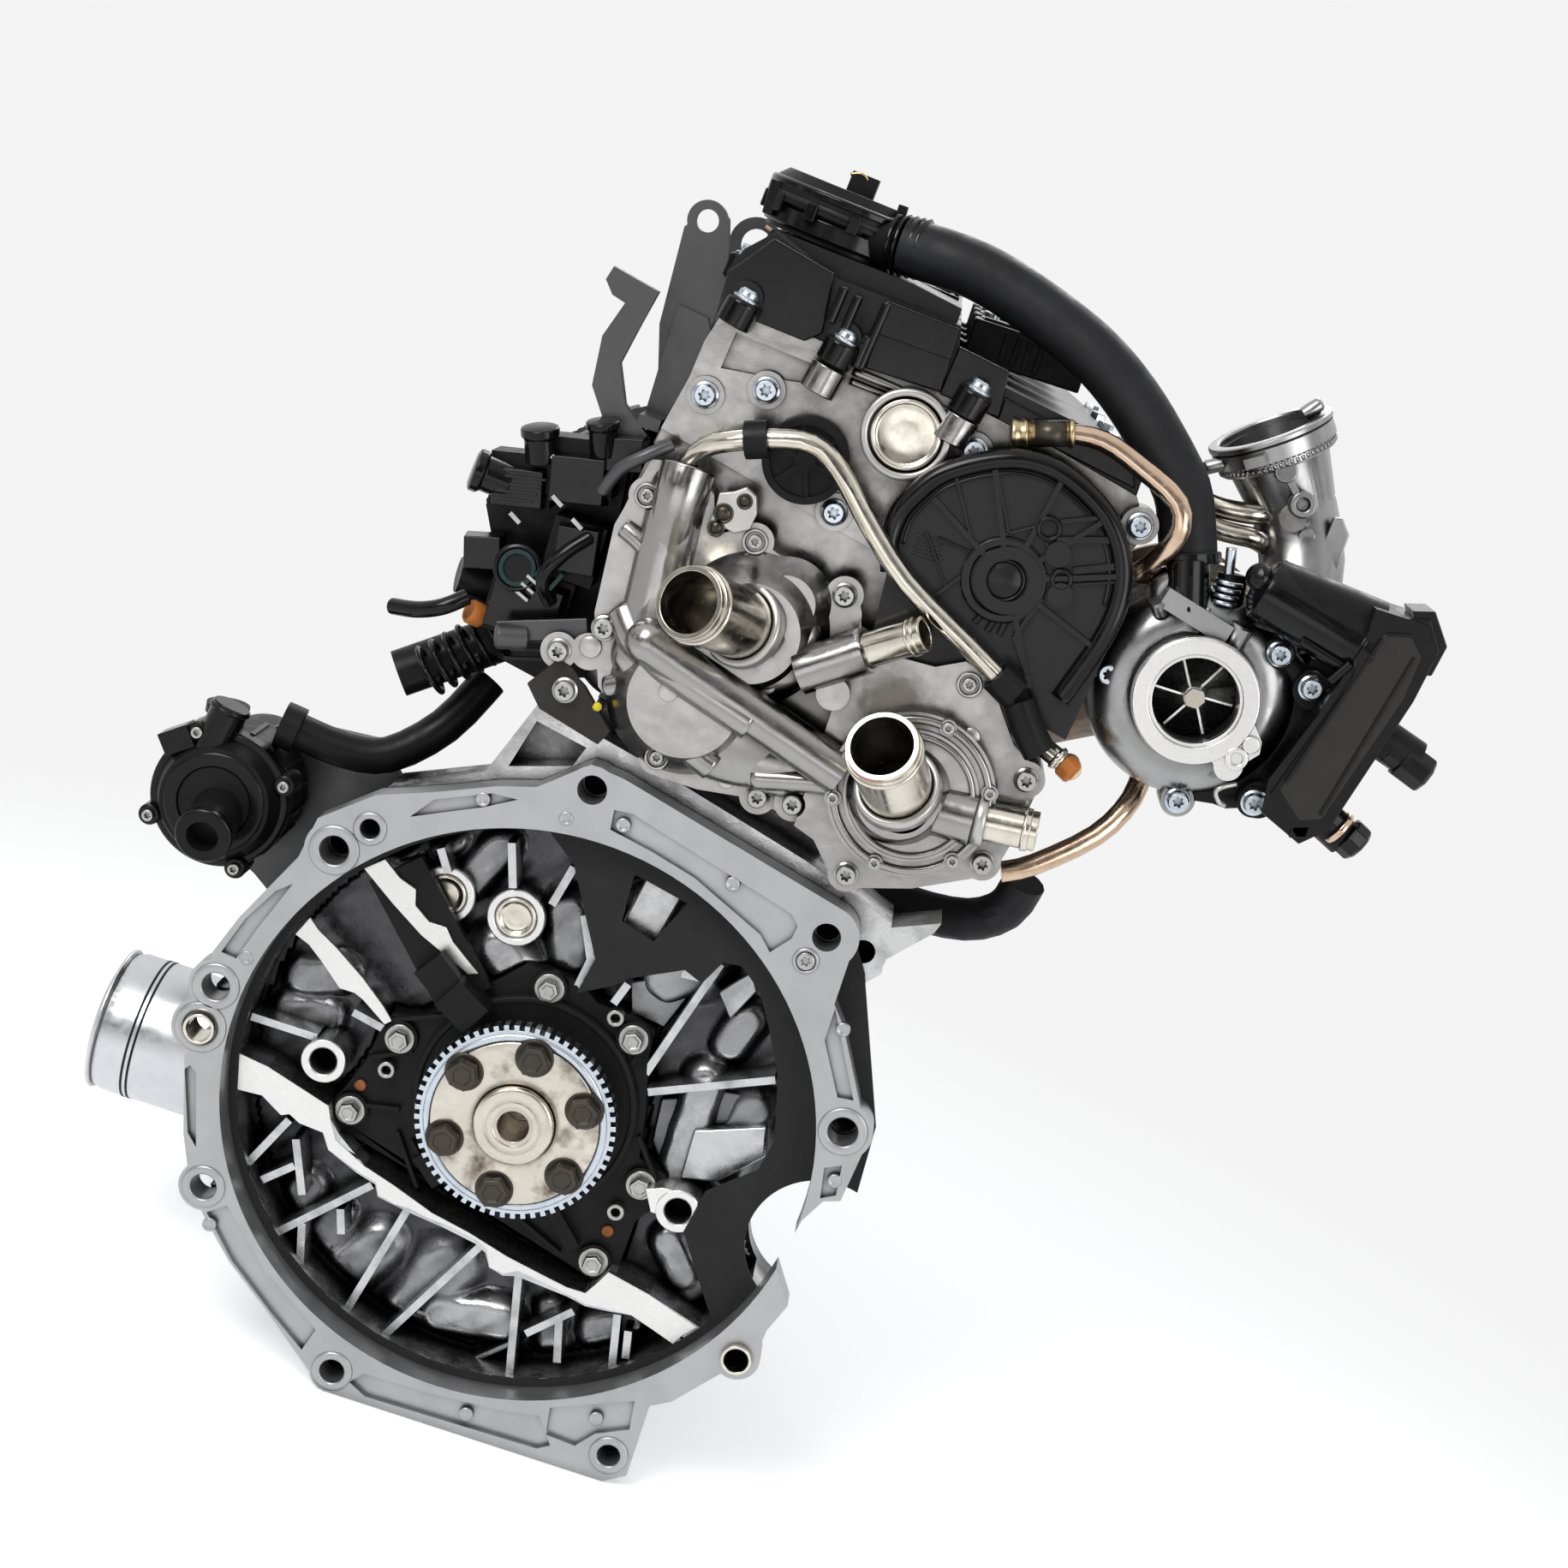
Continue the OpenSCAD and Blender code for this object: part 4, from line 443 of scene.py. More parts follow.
def basis(axis):
    """Two unit vectors across an axis, and the axis itself."""
    along = Vector(axis).normalized()
    helper = Vector((0, 0, 1)) if abs(along.z) < 0.9 else Vector((1, 0, 0))
    side = helper.cross(along).normalized()
    return side, along.cross(side), along


def circle(middle, side, up, radius, sides, phase=0.0):
    """Points round a middle, in the plane of side and up."""
    turns = [phase + 2 * math.pi * i / sides for i in range(sides)]
    return [middle + radius * (math.cos(turn) * side + math.sin(turn) * up) for turn in turns]


def walls(rows, sides, closed=False):
    """Faces between rows of points that have sides points each; closed joins the last row to the first."""
    return [(k * sides + i, k * sides + (i + 1) % sides,
             (k + 1) % rows * sides + (i + 1) % sides, (k + 1) % rows * sides + i)
            for k in range(rows if closed else rows - 1) for i in range(sides)]


def curve_points(points, steps):
    """Smooth curve through points, with steps places between two of them."""
    p = [Vector(q) for q in points]
    out = []
    for i in range(len(p) - 1):
        a, b, c, d = p[max(i - 1, 0)], p[i], p[i + 1], p[min(i + 2, len(p) - 1)]
        for j in range(steps):
            t = j / steps
            out.append((2 * b + (c - a) * t + (2 * a - 5 * b + 4 * c - d) * t * t
                        + (3 * b - a - 3 * c + d) * t ** 3) / 2)
    return out + [p[-1]]


def leaned(x, z):
    """A point (x, z) of the leaning cylinder frame, in the engine frame."""
    return (x * math.cos(LEAN) + z * math.sin(LEAN), z * math.cos(LEAN) - x * math.sin(LEAN))


def lip(outer, inner, low, high, cut, fall, inner_cut=None, inner_fall=None):
    """Profile of a ring whose high edges are cut back by cut across and by fall in height."""
    if inner_cut is None:
        inner_cut, inner_fall = cut, fall
    return [(outer, low), (outer, high - fall), (outer - cut, high),
            (inner + inner_cut, high), (inner, high - inner_fall), (inner, low)]


def bead(radius, crest, inner, low, high, rise):
    """Profile of a ring that swells from radius to crest between its two ends."""
    return [(radius, low), (crest, low + rise), (crest, high - rise), (radius, high),
            (inner, high), (inner, low)]


def stud(radius, low, high, cut, fall):
    """Profile of a round boss whose high edge is cut back by cut across and by fall in height."""
    return [(radius, low), (radius, high - fall), (radius - cut, high), (0, high)]


def facing(x, z):
    """Axes of a block whose first axis points along (x, z), and whose second runs along the crankshaft."""
    return (x, 0, z), REAR, (-z, 0, x)


def polar(x, z, radius, degrees):
    """The place (x, z) at radius from a centre."""
    turn = math.radians(degrees)
    return x + radius * math.cos(turn), z + radius * math.sin(turn)


class Form:
    """Mesh of one piece under construction, in millimetres of the engine frame."""

    def __init__(self):
        self.points = []
        self.faces = []

    def add(self, points, faces):
        """Adds points, and faces that number them from 0."""
        base = len(self.points)
        self.points += [tuple(p) for p in points]
        self.faces += [tuple(base + i for i in face) for face in faces]

    def slab(self, outline, y0, y1):
        """Plate with an outline of (x, z) points, from y0 to y1."""
        n = len(outline)
        points = [(x, y0, z) for x, z in outline] + [(x, y1, z) for x, z in outline]
        self.add(points, [tuple(range(n)), tuple(range(2 * n - 1, n - 1, -1))] + walls(2, n))

    def turn(self, at, axis, profile, sides=24, phase=0.0):
        """Body of revolution: (radius, height) pairs along axis from the point at."""
        side, up, along = basis(axis)
        points, loops = [], []
        for radius, height in profile:
            middle = Vector(at) + along * height
            count = sides if radius else 1
            loops.append(list(range(len(points), len(points) + count)))
            points += circle(middle, side, up, radius, sides, phase) if radius else [middle]
        faces = []
        for low, high in zip(loops, loops[1:]):
            for i in range(sides if len(low) + len(high) > 2 else 0):
                j = (i + 1) % sides
                if len(low) == 1:
                    faces.append((low[0], high[i], high[j]))
                elif len(high) == 1:
                    faces.append((low[i], high[0], low[j]))
                else:
                    faces.append((low[i], low[j], high[j], high[i]))
        if len(loops[0]) > 1:
            faces.append(tuple(reversed(loops[0])))
        if len(loops[-1]) > 1:
            faces.append(tuple(loops[-1]))
        self.add(points, faces)

    def hollow(self, at, axis, profile, sides=32):
        """Body of revolution whose profile closes on itself, such as a ring."""
        side, up, along = basis(axis)
        points = []
        for radius, height in profile:
            points += circle(Vector(at) + along * height, side, up, radius, sides)
        self.add(points, walls(len(profile), sides, closed=True))

    def tube(self, path, radii, sides=16):
        """Round tube on the points of path; radii is one number or one for each point."""
        path = [Vector(p) for p in path]
        if not hasattr(radii, "__len__"):
            radii = [radii] * len(path)
        points = []
        side = None
        for i, place in enumerate(path):
            along = (path[min(i + 1, len(path) - 1)] - path[max(i - 1, 0)]).normalized()
            if side is None:
                side = basis(along)[0]
            side = (side - along * side.dot(along)).normalized()
            points += circle(place, side, along.cross(side), radii[i], sides)
        last = (len(path) - 1) * sides
        ends = [tuple(reversed(range(sides))), tuple(range(last, last + sides))]
        self.add(points, walls(len(path), sides) + ends)

    def pipe(self, points, radii, sides, steps):
        """Round tube on a smooth curve through points."""
        self.tube(curve_points(points, steps), radii, sides)

    def dome(self, center, reach, turn=0.0, rows=9, sides=40):
        """Rounded swelling towards the gearbox end; reach is its half length, depth and half width."""
        side = Vector((math.cos(math.radians(turn)), 0, math.sin(math.radians(turn))))
        up = Vector((-side.z, 0, side.x))
        profile = [(1.0, -0.25)]
        for k in range(rows):
            angle = math.radians(90 * k / rows)
            profile.append((math.cos(angle), math.sin(angle)))
        points = []
        for out, high in profile:
            middle = Vector(center) + Vector(FRONT) * reach[1] * high
            points += circle(middle, side * reach[0], up * reach[2], out, sides)
        points.append(Vector(center) + Vector(FRONT) * reach[1])
        faces = walls(rows + 1, sides)
        last = rows * sides
        faces += [(last + i, last + (i + 1) % sides, last + sides) for i in range(sides)]
        self.add(points, faces + [tuple(reversed(range(sides)))])

    def box(self, center, size, axes=((1, 0, 0), REAR, (0, 0, 1)), taper=1.0):
        """Block with its own axes; taper scales the far end along the second axis."""
        a, b, c = [Vector(q).normalized() for q in axes]
        points = []
        for s in (-1, 1):
            k = 1.0 if s < 0 else taper
            for r, t in ((-1, -1), (1, -1), (1, 1), (-1, 1)):
                points.append(Vector(center) + a * (r * size[0] * k / 2) + b * (s * size[1] / 2)
                              + c * (t * size[2] * k / 2))
        self.add(points, [(0, 1, 2, 3), (7, 6, 5, 4), (0, 4, 5, 1),
                          (1, 5, 6, 2), (2, 6, 7, 3), (3, 7, 4, 0)])

    def bar(self, a, b, y, high, wide):
        """Rib from place a to place b, both (x, z), with its middle at y."""
        dx, dz = b[0] - a[0], b[1] - a[1]
        self.box((a[0] + dx / 2, y, a[1] + dz / 2), (math.hypot(dx, dz), high, wide), facing(dx, dz))

    def socket_head(self, at, axis, radius, height, flange=1.0):
        """Round bolt head with a six-lobed socket; axis points out of the surface."""
        side, up, along = basis(axis)
        sides = 36
        rows = [(radius * flange, 0), (radius * flange, height * 0.22)]
        if flange > 1:
            rows += [(radius * 1.02, height * 0.34)]
        rows += [(radius, height * 0.5), (radius, height * 0.86), (radius * 0.88, height)]
        points = []
        for r, h in rows:
            points += circle(Vector(at) + along * h, side, up, r, sides)
        for h in (height, height * 0.35):
            for i in range(sides):
                turn = 2 * math.pi * i / sides
                r = radius * (0.47 + 0.10 * math.cos(6 * turn))
                points.append(Vector(at) + along * h + r * (math.cos(turn) * side + math.sin(turn) * up))
        loops = len(rows) + 2
        ends = [tuple(reversed(range(sides))), tuple(range((loops - 1) * sides, loops * sides))]
        self.add(points, walls(loops, sides) + ends)

    def hex_head(self, at, axis, radius, height, flange=1.35, phase=0.0, dish=0.0):
        """Hexagon bolt head on a round flange, with a chamfered top."""
        wide = radius * flange
        self.turn(at, axis, [(wide, 0), (wide, height * 0.16), (wide * 0.93, height * 0.26)], 32)
        base = Vector(at) + Vector(axis).normalized() * height * 0.22
        tall = height * 0.78
        self.turn(base, axis, [
            (radius, 0), (radius, tall * 0.82), (radius * 0.9, tall), (radius * 0.62, tall),
            (radius * 0.55, tall - dish), (0, tall - dish)], 6, phase)

    def make(self, name, finish, body="root", edge=0.4):
        """Turns the form into an object that rides on body."""
        mesh = bpy.data.meshes.new(name)
        mesh.from_pydata([(x * MM, y * MM, z * MM) for x, y, z in self.points], [], self.faces)
        work = bmesh.new()
        work.from_mesh(mesh)
        bmesh.ops.recalc_face_normals(work, faces=work.faces)
        work.to_mesh(mesh)
        work.free()
        for face in mesh.polygons:
            face.use_smooth = True
        mesh.materials.append(MATERIALS[finish])
        obj = bpy.data.objects.new(name, mesh)
        bpy.context.scene.collection.objects.link(obj)
        if edge:
            bevel(obj, edge, 30)
        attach(obj, body)
        return obj


# ---------- clutch recess ----------

SEAL_FLANGE = [
    (-20, 70), (8, 70), (20, 62), (38, 61), (52, 57), (53, 44), (60, 14), (64, -10), (80, -15), (80, -30),
    (72, -44), (71, -76), (62, -82), (-92, -44), (-96, -34), (-90, -22), (-84, -6), (-82, 8), (-78, 22),
    (-64, 25), (-44, 44)]

# Swellings of the recess wall: start, end, radius, height
SWELLINGS = [
    ((-36, 70), (-24, 62), 16, 12), ((0, 80), (-8, 100), 14, 9), ((50, 84), (62, 92), 20, 10),
    ((28, 118), (30, 106), 9, 14), ((84, 38), (84, -12), 12, 12), ((112, 30), (108, -5), 14, 8),
    ((95, 75), (90, 60), 10, 9), ((-112, 30), (-128, 24), 12, 8), ((-110, 8), (-130, 4), 10, 7),
    ((-95, 108), (-100, 104), 8, 7), ((-75, 118), (-78, 114), 8, 7), ((92, -52), (104, -66), 10, 10),
    ((-95, -85), (-100, -100), 12, 8), ((-52, -105), (-68, -128), 18, 10),
    ((-15, -105), (-25, -138), 22, 9), ((-10, -128), (22, -122), 14, 12), ((45, -110), (52, -130), 10, 8),
    ((-76, -95), (-84, -118), 10, 7), ((70, -112), (84, -104), 12, 9), ((112, -74), (118, -70), 9, 8),
    ((-60, 100), (-50, 122), 10, 8)]
RECESS_WALL = 44.0
RECESS_RADIUS = 144.5
SEAL_RADIUS = 59
STARTER_OPENING = (164, -22, 38)


def to_segment(x, z, a, b):
    """Distance from a point to the line between a and b."""
    dx, dz = b[0] - a[0], b[1] - a[1]
    length = dx * dx + dz * dz
    t = max(0.0, min(1.0, ((x - a[0]) * dx + (z - a[1]) * dz) / length))
    return math.hypot(x - a[0] - t * dx, z - a[1] - t * dz)


def inside(x, z, outline):
    """Whether a point lies in an outline of (x, z) points."""
    hit = False
    for (x0, z0), (x1, z1) in zip(outline, outline[1:] + outline[:1]):
        if (z0 > z) != (z1 > z) and x < x0 + (z - z0) / (z1 - z0) * (x1 - x0):
            hit = not hit
    return hit


def recess_height(x, z):
    """How far the cast wall of the clutch recess stands out at a place."""
    high = 0.0
    for a, b, radius, tall in SWELLINGS:
        t = min(1.0, max(0.0, (radius + 3 - to_segment(x, z, a, b)) / (0.75 * radius)))
        high = max(high, 0.8 * tall * t * t * (3 - 2 * t))
    wave = 0.5 * math.sin(x * 0.19 + 1.3) * math.sin(z * 0.23) + 0.35 * math.sin(x * 0.41 - z * 0.37)
    fade = min(1.0, max(0.0, (RECESS_RADIUS - math.hypot(x, z)) / 8))
    return 0.5 + (high + 0.6 + 0.6 * wave) * fade


def add_recess_wall():
    """Sheet of cast relief over the flat rear wall of the clutch recess."""
    pitch = 2.0
    count = int(RECESS_RADIUS / pitch) + 1
    form = Form()
    index = {}
    for i in range(-count, count + 1):
        for j in range(-count, count + 1):
            x, z = i * pitch, j * pitch
            if not SEAL_RADIUS <= math.hypot(x, z) <= RECESS_RADIUS or inside(x, z, SEAL_FLANGE):
                continue
            if math.hypot(x - STARTER_OPENING[0], z - STARTER_OPENING[1]) < STARTER_OPENING[2]:
                continue
            index[i, j] = len(form.points)
            form.points.append((x, RECESS_WALL - recess_height(x, z), z))
    for (i, j), first in index.items():
        corners = [index.get(key) for key in ((i + 1, j), (i + 1, j + 1), (i, j + 1))]
        if None not in corners:
            form.faces.append((first, *corners))
    wall = form.make("recess_wall_relief", "recess", edge=0)
    solid = wall.modifiers.new("thickness", "SOLIDIFY")
    solid.thickness = 0.4 * MM
    solid.offset = -1


def add_recess_faces():
    """Bright milled strips, rings and boss faces at the joint plane."""
    form = Form()
    form.slab([
        (-111, 94), (-102, 102), (-92, 95), (-83, 92), (-81, 84), (-72, 78), (-63, 78), (-58, 72),
        (-41, 60), (-46, 58), (-74, 70), (-92, 81)], 21.6, 24)
    form.slab([
        (-135, 50), (-130, 61), (-124, 56), (-113, 50), (-96, 39), (-82, 28), (-76, 22), (-79, 19),
        (-93, 28), (-98, 30), (-106, 30), (-119, 41), (-127, 47)], 21.6, 24)
    joint = [
        (-145, -18), (-129, -20), (-115, -24), (-94, -30), (-91, -37), (-86, -46), (-68, -55), (-51, -60),
        (-28, -68), (-7, -72), (15, -78), (37, -82), (49, -84), (59, -84), (64, -75), (67, -69), (91, -74),
        (119, -83), (113, -90), (110, -96), (98, -92), (85, -88), (71, -89), (61, -90), (51, -88),
        (38, -86), (23, -84), (16, -88), (8, -87), (4, -78), (-2, -75), (-20, -72), (-28, -72), (-39, -70),
        (-48, -70), (-57, -68), (-60, -62), (-71, -59), (-88, -53), (-93, -45), (-106, -44), (-112, -41),
        (-116, -43), (-128, -36), (-141, -37)]
    form.slab([(72, -20), (80, -16.5), (87, -15.8), (81.5, -22), (81, -31), (78, -31)], 17.3, 40)
    form.slab(joint, 17.1, 40)
    for x in (-69, -32):
        form.hollow((x, 32, 91), FRONT, lip(15, 10.6, -3, 1.4, 0.8, 0.8))
    for x, z in ((-103, -8), (91, -26)):
        form.hollow((x, 17.5, z), FRONT, lip(11.5, 7, -3, 0.7, 0.5, 0.5, 0.6, 0.7))
    form.make("recess_machined_faces", "milled", edge=0.5)
    plugs = Form()
    for x in (-69, -32):
        plugs.turn((x, 31.5, 91), FRONT, [
            (10.5, -6), (10.5, 0.5), (9.6, 1.2), (8.6, 0.9), (8.2, 0.1), (6, -0.4), (2.5, -0.2), (0, -0.1)],
            40)
    plugs.turn((79, 9.8, 382), FRONT, [
        (16.9, -10), (16.9, 1.2), (16.2, 2.0), (14.9, 2.0), (14.3, 1.0), (13.4, 0.6), (6, 1.0), (0, 1.1)],
        56)
    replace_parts(plugs.make("pressed_core_plugs", "nickel", edge=0), "core_plugs")


def add_crank_face():
    """Turned face of the crankshaft, its pilot ring, the six dark bolts and the sensor wheel's rim."""
    disc = Form()
    disc.hollow((0, -2.5, 0), FRONT, lip(42.4, 20.3, -0.4, 1.7, 0.6, 0.4, 0.9, 0.5), 96)
    disc.make("crank_face", "crank_face", "crank", 0)
    boss = Form()
    boss.hollow((0, -8, 0), FRONT, [
        (20.2, -9), (20.2, -0.6), (19.2, 0.4), (14.6, 0.4), (13.8, -0.2), (13.2, -0.2), (12.6, 0.3),
        (10.4, 0.3), (8.3, -2.2), (8.3, -9)], 72)
    boss.make("crank_pilot_boss", "steel_bright", "crank", 0)
    bolts = Form()
    for i in range(6):
        x, z = polar(0, 0, 36, -60 * i - 30)
        bolts.hex_head((x, -2.5, z), FRONT, 8.4, 8.6, 1.2, 0.3 * i, 0.8)
        bolts.turn((x, -2.5, z), REAR, [(5, 0), (5, 11.4)], 16)
    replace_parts(bolts.make("flywheel_bolts", "dark_bolt", "crank", 0.35), "crank_bolts")
    rim = Form()
    rim.hollow((0, -2.5, 0), FRONT, lip(46.2, 42.6, -2, 0.7, 1.2, 0.35, 0.6, 0.6), 96)
    rim.make("sensor_wheel_rim", "zinc", "crank", 0)


def add_seal_flange_bolts():
    """Bolts, sleeves, dowels and ribs of the crankshaft seal carrier."""
    bolts = Form()
    for i, (x, z) in enumerate([(-5, 63), (43, 51), (-70, 13), (-84, -32), (69, -22), (58, -70)]):
        bolts.hex_head((x, 26, z), FRONT, 5.6, 6.4, 1.42, 0.5 * i, 0.5)
    for x, z in ((31, 59), (-72, -5), (61, -40)):
        bolts.hollow((x, 30, z), FRONT, lip(4.6, 2.2, 0, 6.2, 0.5, 0.6))
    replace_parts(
        bolts.make("seal_flange_hardware", "bolt", edge=0.3), "seal_flange_bolts")
    rust = Form()
    for x, z in ((-83, -19), (60, -53)):
        rust.turn((x, 30, z), FRONT, stud(3.2, 0, 1.9, 0.8, 0.5), 16)
    rust.make("seal_flange_dowels", "rust", edge=0)
    ribs = Form()
    for a, b, wide in (
            ((-78, 20), (-46, 34), 2.2), ((-58, -36), (-40, -62), 2.4), ((22, 52), (34, 40), 2.4),
            ((60, 2), (76, -18), 2.2), ((-30, -50), (-12, -60), 2.4), ((4, -56), (40, -72), 2.4),
            ((46, 38), (50, 54), 2.2), ((-82, -2), (-62, 8), 2.2), ((-88, -30), (-60, -24), 2.2),
            ((-50, -38), (-34, -55), 2.2)):
        ribs.bar(a, b, 28.2, 4.2, wide)
    ribs.hollow((0, 26, 0), FRONT, lip(57.5, 54, -1, 1.8, 1.1, 0.6, 0.6, 0.6), 72)
    ribs.make("seal_flange_ribs", "plastic", edge=0.4)


def add_recess_pads():
    """Raised pads and facets cast on the wall of the clutch recess."""
    form = Form()
    for front, outline in (
            (24, [(25, 136), (20, 109), (27, 103), (39, 103), (45, 131)]),
            (30, [(76, 87), (89, 103), (95, 94), (86, 75)]),
            (36, [(32, 76), (56, 89), (65, 84), (56, 58), (37, 60)]),
            (38, [(65, 21), (77, 26), (83, 5), (74, -12), (67, -2)]),
            (38, [(93, 35), (104, 37), (104, 20), (95, 16)]),
            (30, [(86, 13), (121, 27), (125, 11), (105, -10), (87, -14)])):
        form.slab(outline, front, 43.5)
    for a, b in (((-23, -131), (1, -131)), ((1, -131), (25, -113)), ((11, -150), (33, -129))):
        form.bar(a, b, 38.5, 10, 3.4)
    form.make("recess_cast_pads", "recess", edge=1.4)


# ---------- coolant module ----------

PUMP = (134, 224)
MODULE_TORX = [
    (-28, 318, 2), (27, 313, 2), (75, 302, 2), (-47, 234, 2), (13, 199, 2), (65, 196, 2), (144, 281, -6),
    (184, 246, -6), (117, 175, -6), (177, 201, -6), (82, 199, -2)]
SUNK_BOLTS = [(-28, 318, 2), (27, 313, 2), (13, 199, 2), (144, 281, -6)]

# Necks of the module: foot and direction
UPPER_NECK = ((36, -8, 275), (-27, -52, 11))
LOWER_NECK = ((128, -25, 225), (-16, -41, 27))
HEATER_NECK = ((88, -10, 279), (28, -12, 21))
SIDE_NECK = ((165, -14, 222), (31, -3, 4))


def add_module_bolts():
    """Torx flange bolts of the coolant module, some sunk in bright rings."""
    bolts = Form()
    for x, z, y in MODULE_TORX:
        if (x, z, y) in SUNK_BOLTS:
            bolts.hollow((x, y, z), FRONT, lip(6.3, 4.6, -3, 1.4, 0.4, 0.5))
            bolts.socket_head((x, y + 0.5, z), FRONT, 3.4, 2.6)
        else:
            bolts.socket_head((x, y + 1, z), FRONT, 4.9, 6.5, 1.24)
    for x, z in ((-29.3, 251.6), (-38.6, 216.8)):
        bolts.socket_head((x, 1.2, z), FRONT, 5.0, 5.5, 1.26)
    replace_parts(bolts.make("module_torx_bolts", "bolt", edge=0.25), "module_bolts")


def add_module_marks():
    """Pale ejector discs, small bosses and the three-hole lug of the module."""
    form = Form()
    for x, z, front, radius in (
            (-12.5, 327.3, -10.8, 4.7), (-33, 240.5, 0.6, 5.4), (9.8, 234.5, -14.8, 4.6),
            (52.3, 251.6, -9.4, 5.2), (48.2, 199, 0.8, 4.2), (152.6, 257.6, -6.8, 4.4),
            (121, 195, -6.8, 4.4)):
        form.turn((x, front + 2.5, z), FRONT, stud(radius, 0, 2.5, 0.5, 0.4), 32)
    form.make("module_ejector_marks", "pale_cast", edge=0)
    lug = Form()
    lug.slab([
        (4, 330), (11, 333), (15.7, 336.8), (21.4, 334), (23.9, 326), (23, 318), (16.5, 314), (12, 315),
        (10, 309.5), (5, 309.5), (3.4, 314), (4.5, 322)], -1.6, 4)
    lug.make("module_lug", "pale_cast", edge=0.7)
    holes = Form()
    for x, z, radius in ((16.8, 330, 2.6), (8.9, 321.6, 3.6), (7.6, 313.9, 2.9)):
        holes.hollow((x, -1.4, z), FRONT, [
            (radius + 1.3, 0), (radius + 1.2, 0.7), (radius, 0.7), (radius, 0)], 28)
        # Painted shade: a flat dark disc inside each rim stands for the depth of the hole
        holes.turn((x, -1.5, z), FRONT, [(radius, 0), (radius * 0.96, 0.25), (0, 0.25)], 28)
    holes.make("module_lug_hole_shade", "dark_bolt", edge=0)


def add_module_shapes():
    """Swellings that blend the ducts of the module: housings, webs and rims."""
    form = Form()
    form.pipe(
        [(-13, 2, 336), (-13, -1, 322), (-12, 0, 300), (-9, 2, 272), (-7, 0, 250)],
        [10 + 3.4 * abs(math.cos(i * 0.098)) for i in range(33)], 28, 8)
    form.pipe([(-22, 3, 262), (-12, -4, 252), (2, -9, 247), (24, -13, 241), (52, -14, 233)], 9.5, 24, 8)
    form.pipe([(40, -4, 205), (20, -6, 214), (4, -4, 228), (-4, 0, 246)], 8, 20, 8)
    form.pipe([(-34, 3, 300), (-24, 1, 296), (-16, 0, 290)], 5, 16, 6)
    form.pipe([(-20, 3, 224), (-8, -1, 232), (0, -4, 244)], 5.5, 16, 6)
    form.pipe([(60, -2, 205), (84, -5, 212), (100, -8, 216)], 6, 16, 6)
    form.dome((30, 1, 223), (50, 11, 25), -10)
    form.dome((72, 0, 214), (30, 8, 15), 8)
    form.dome((44, -2, 268), (30, 12, 27), 20)
    form.dome((2, 2, 262), (17, 8, 30), -8)
    form.make("module_duct_swellings", "cast", edge=0)
    rims = Form()
    for neck in (UPPER_NECK, LOWER_NECK):
        rims.hollow(*neck, [(20.8, 2), (20.6, 7.5), (19.6, 8.6), (17.7, 8.6), (17.2, 8), (17.2, 2)], 56)
    rims.hollow(*HEATER_NECK, [(11.4, 1), (11.2, 6.4), (10.6, 7), (9, 7), (8.6, 6.6), (8.6, 1)], 36)
    rims.hollow(*SIDE_NECK, [(12.6, 1), (12.4, 6.4), (11.8, 7), (10, 7), (9.6, 6.6), (9.6, 1)], 36)
    rims.make("module_neck_rims", "pale_cast", edge=0)
    beads = Form()
    for neck, end in ((UPPER_NECK, 59.6), (LOWER_NECK, 51.6)):
        beads.hollow(*neck, [(16.5, end - 9), (18.5, end - 7.6), (18.6, end - 6.6), (16.5, end - 5.2)], 56)
    beads.hollow(*HEATER_NECK, [(8.2, 29), (9.4, 30), (9.4, 30.8), (8.2, 31.8)], 36)
    beads.hollow(*SIDE_NECK, [(9.2, 24), (10.5, 25), (10.5, 25.8), (9.2, 26.8)], 36)
    beads.make("coolant_neck_beads", "nickel", edge=0)


def add_pump_face():
    """Raised rings and cap screws on the pump cover."""
    form = Form()
    form.hollow((134, -17, 224), FRONT, [
        (38.5, 0), (38.3, 1.6), (37.5, 2.2), (35.6, 2.2), (34.9, 1.6), (34.8, 0)], 96)
    form.hollow((134, -19, 224), FRONT, [
        (30.5, 0), (30.3, 1.2), (29.6, 1.8), (28.2, 1.8), (27.6, 1.2), (27.5, 0)], 96)
    form.make("pump_cover_rings", "cast", edge=0)
    screws = Form()
    for i in range(6):
        x, z = polar(*PUMP, 37, 20 + 60 * i)
        screws.socket_head((x, -19, z), FRONT, 2.9, 2.4)
    screws.make("pump_cover_screws", "bolt", edge=0.2)


def add_module_bracket():
    """Coated bracket beside the module, with its yellow paint dot."""
    form = Form()
    form.slab([
        (-57, 214), (-46, 230), (-38, 228), (-30, 221), (-12, 204), (-16, 196), (-48, 204)], 0.9, 2.2)
    form.make("module_bracket_coat", "lid", edge=0.4)
    dot = Form()
    dot.slab([
        (-23.8, 213), (-23.2, 215.4), (-21.4, 216.2), (-19.6, 215.2), (-19.2, 213.4), (-20.2, 211.9),
        (-22.4, 211.6)], 0.55, 1.1)
    dot.make("bracket_paint_dot", "paint", edge=0)


# ---------- head end: bolts, cam cover and separator ----------

PILLAR_AXIS = (math.sin(LEAN), 0, math.cos(LEAN))


def up_pillar(x, y, z, height):
    """The point at height along a pillar whose top is at (x, y, z)."""
    return x + PILLAR_AXIS[0] * height, y, z + PILLAR_AXIS[2] * height


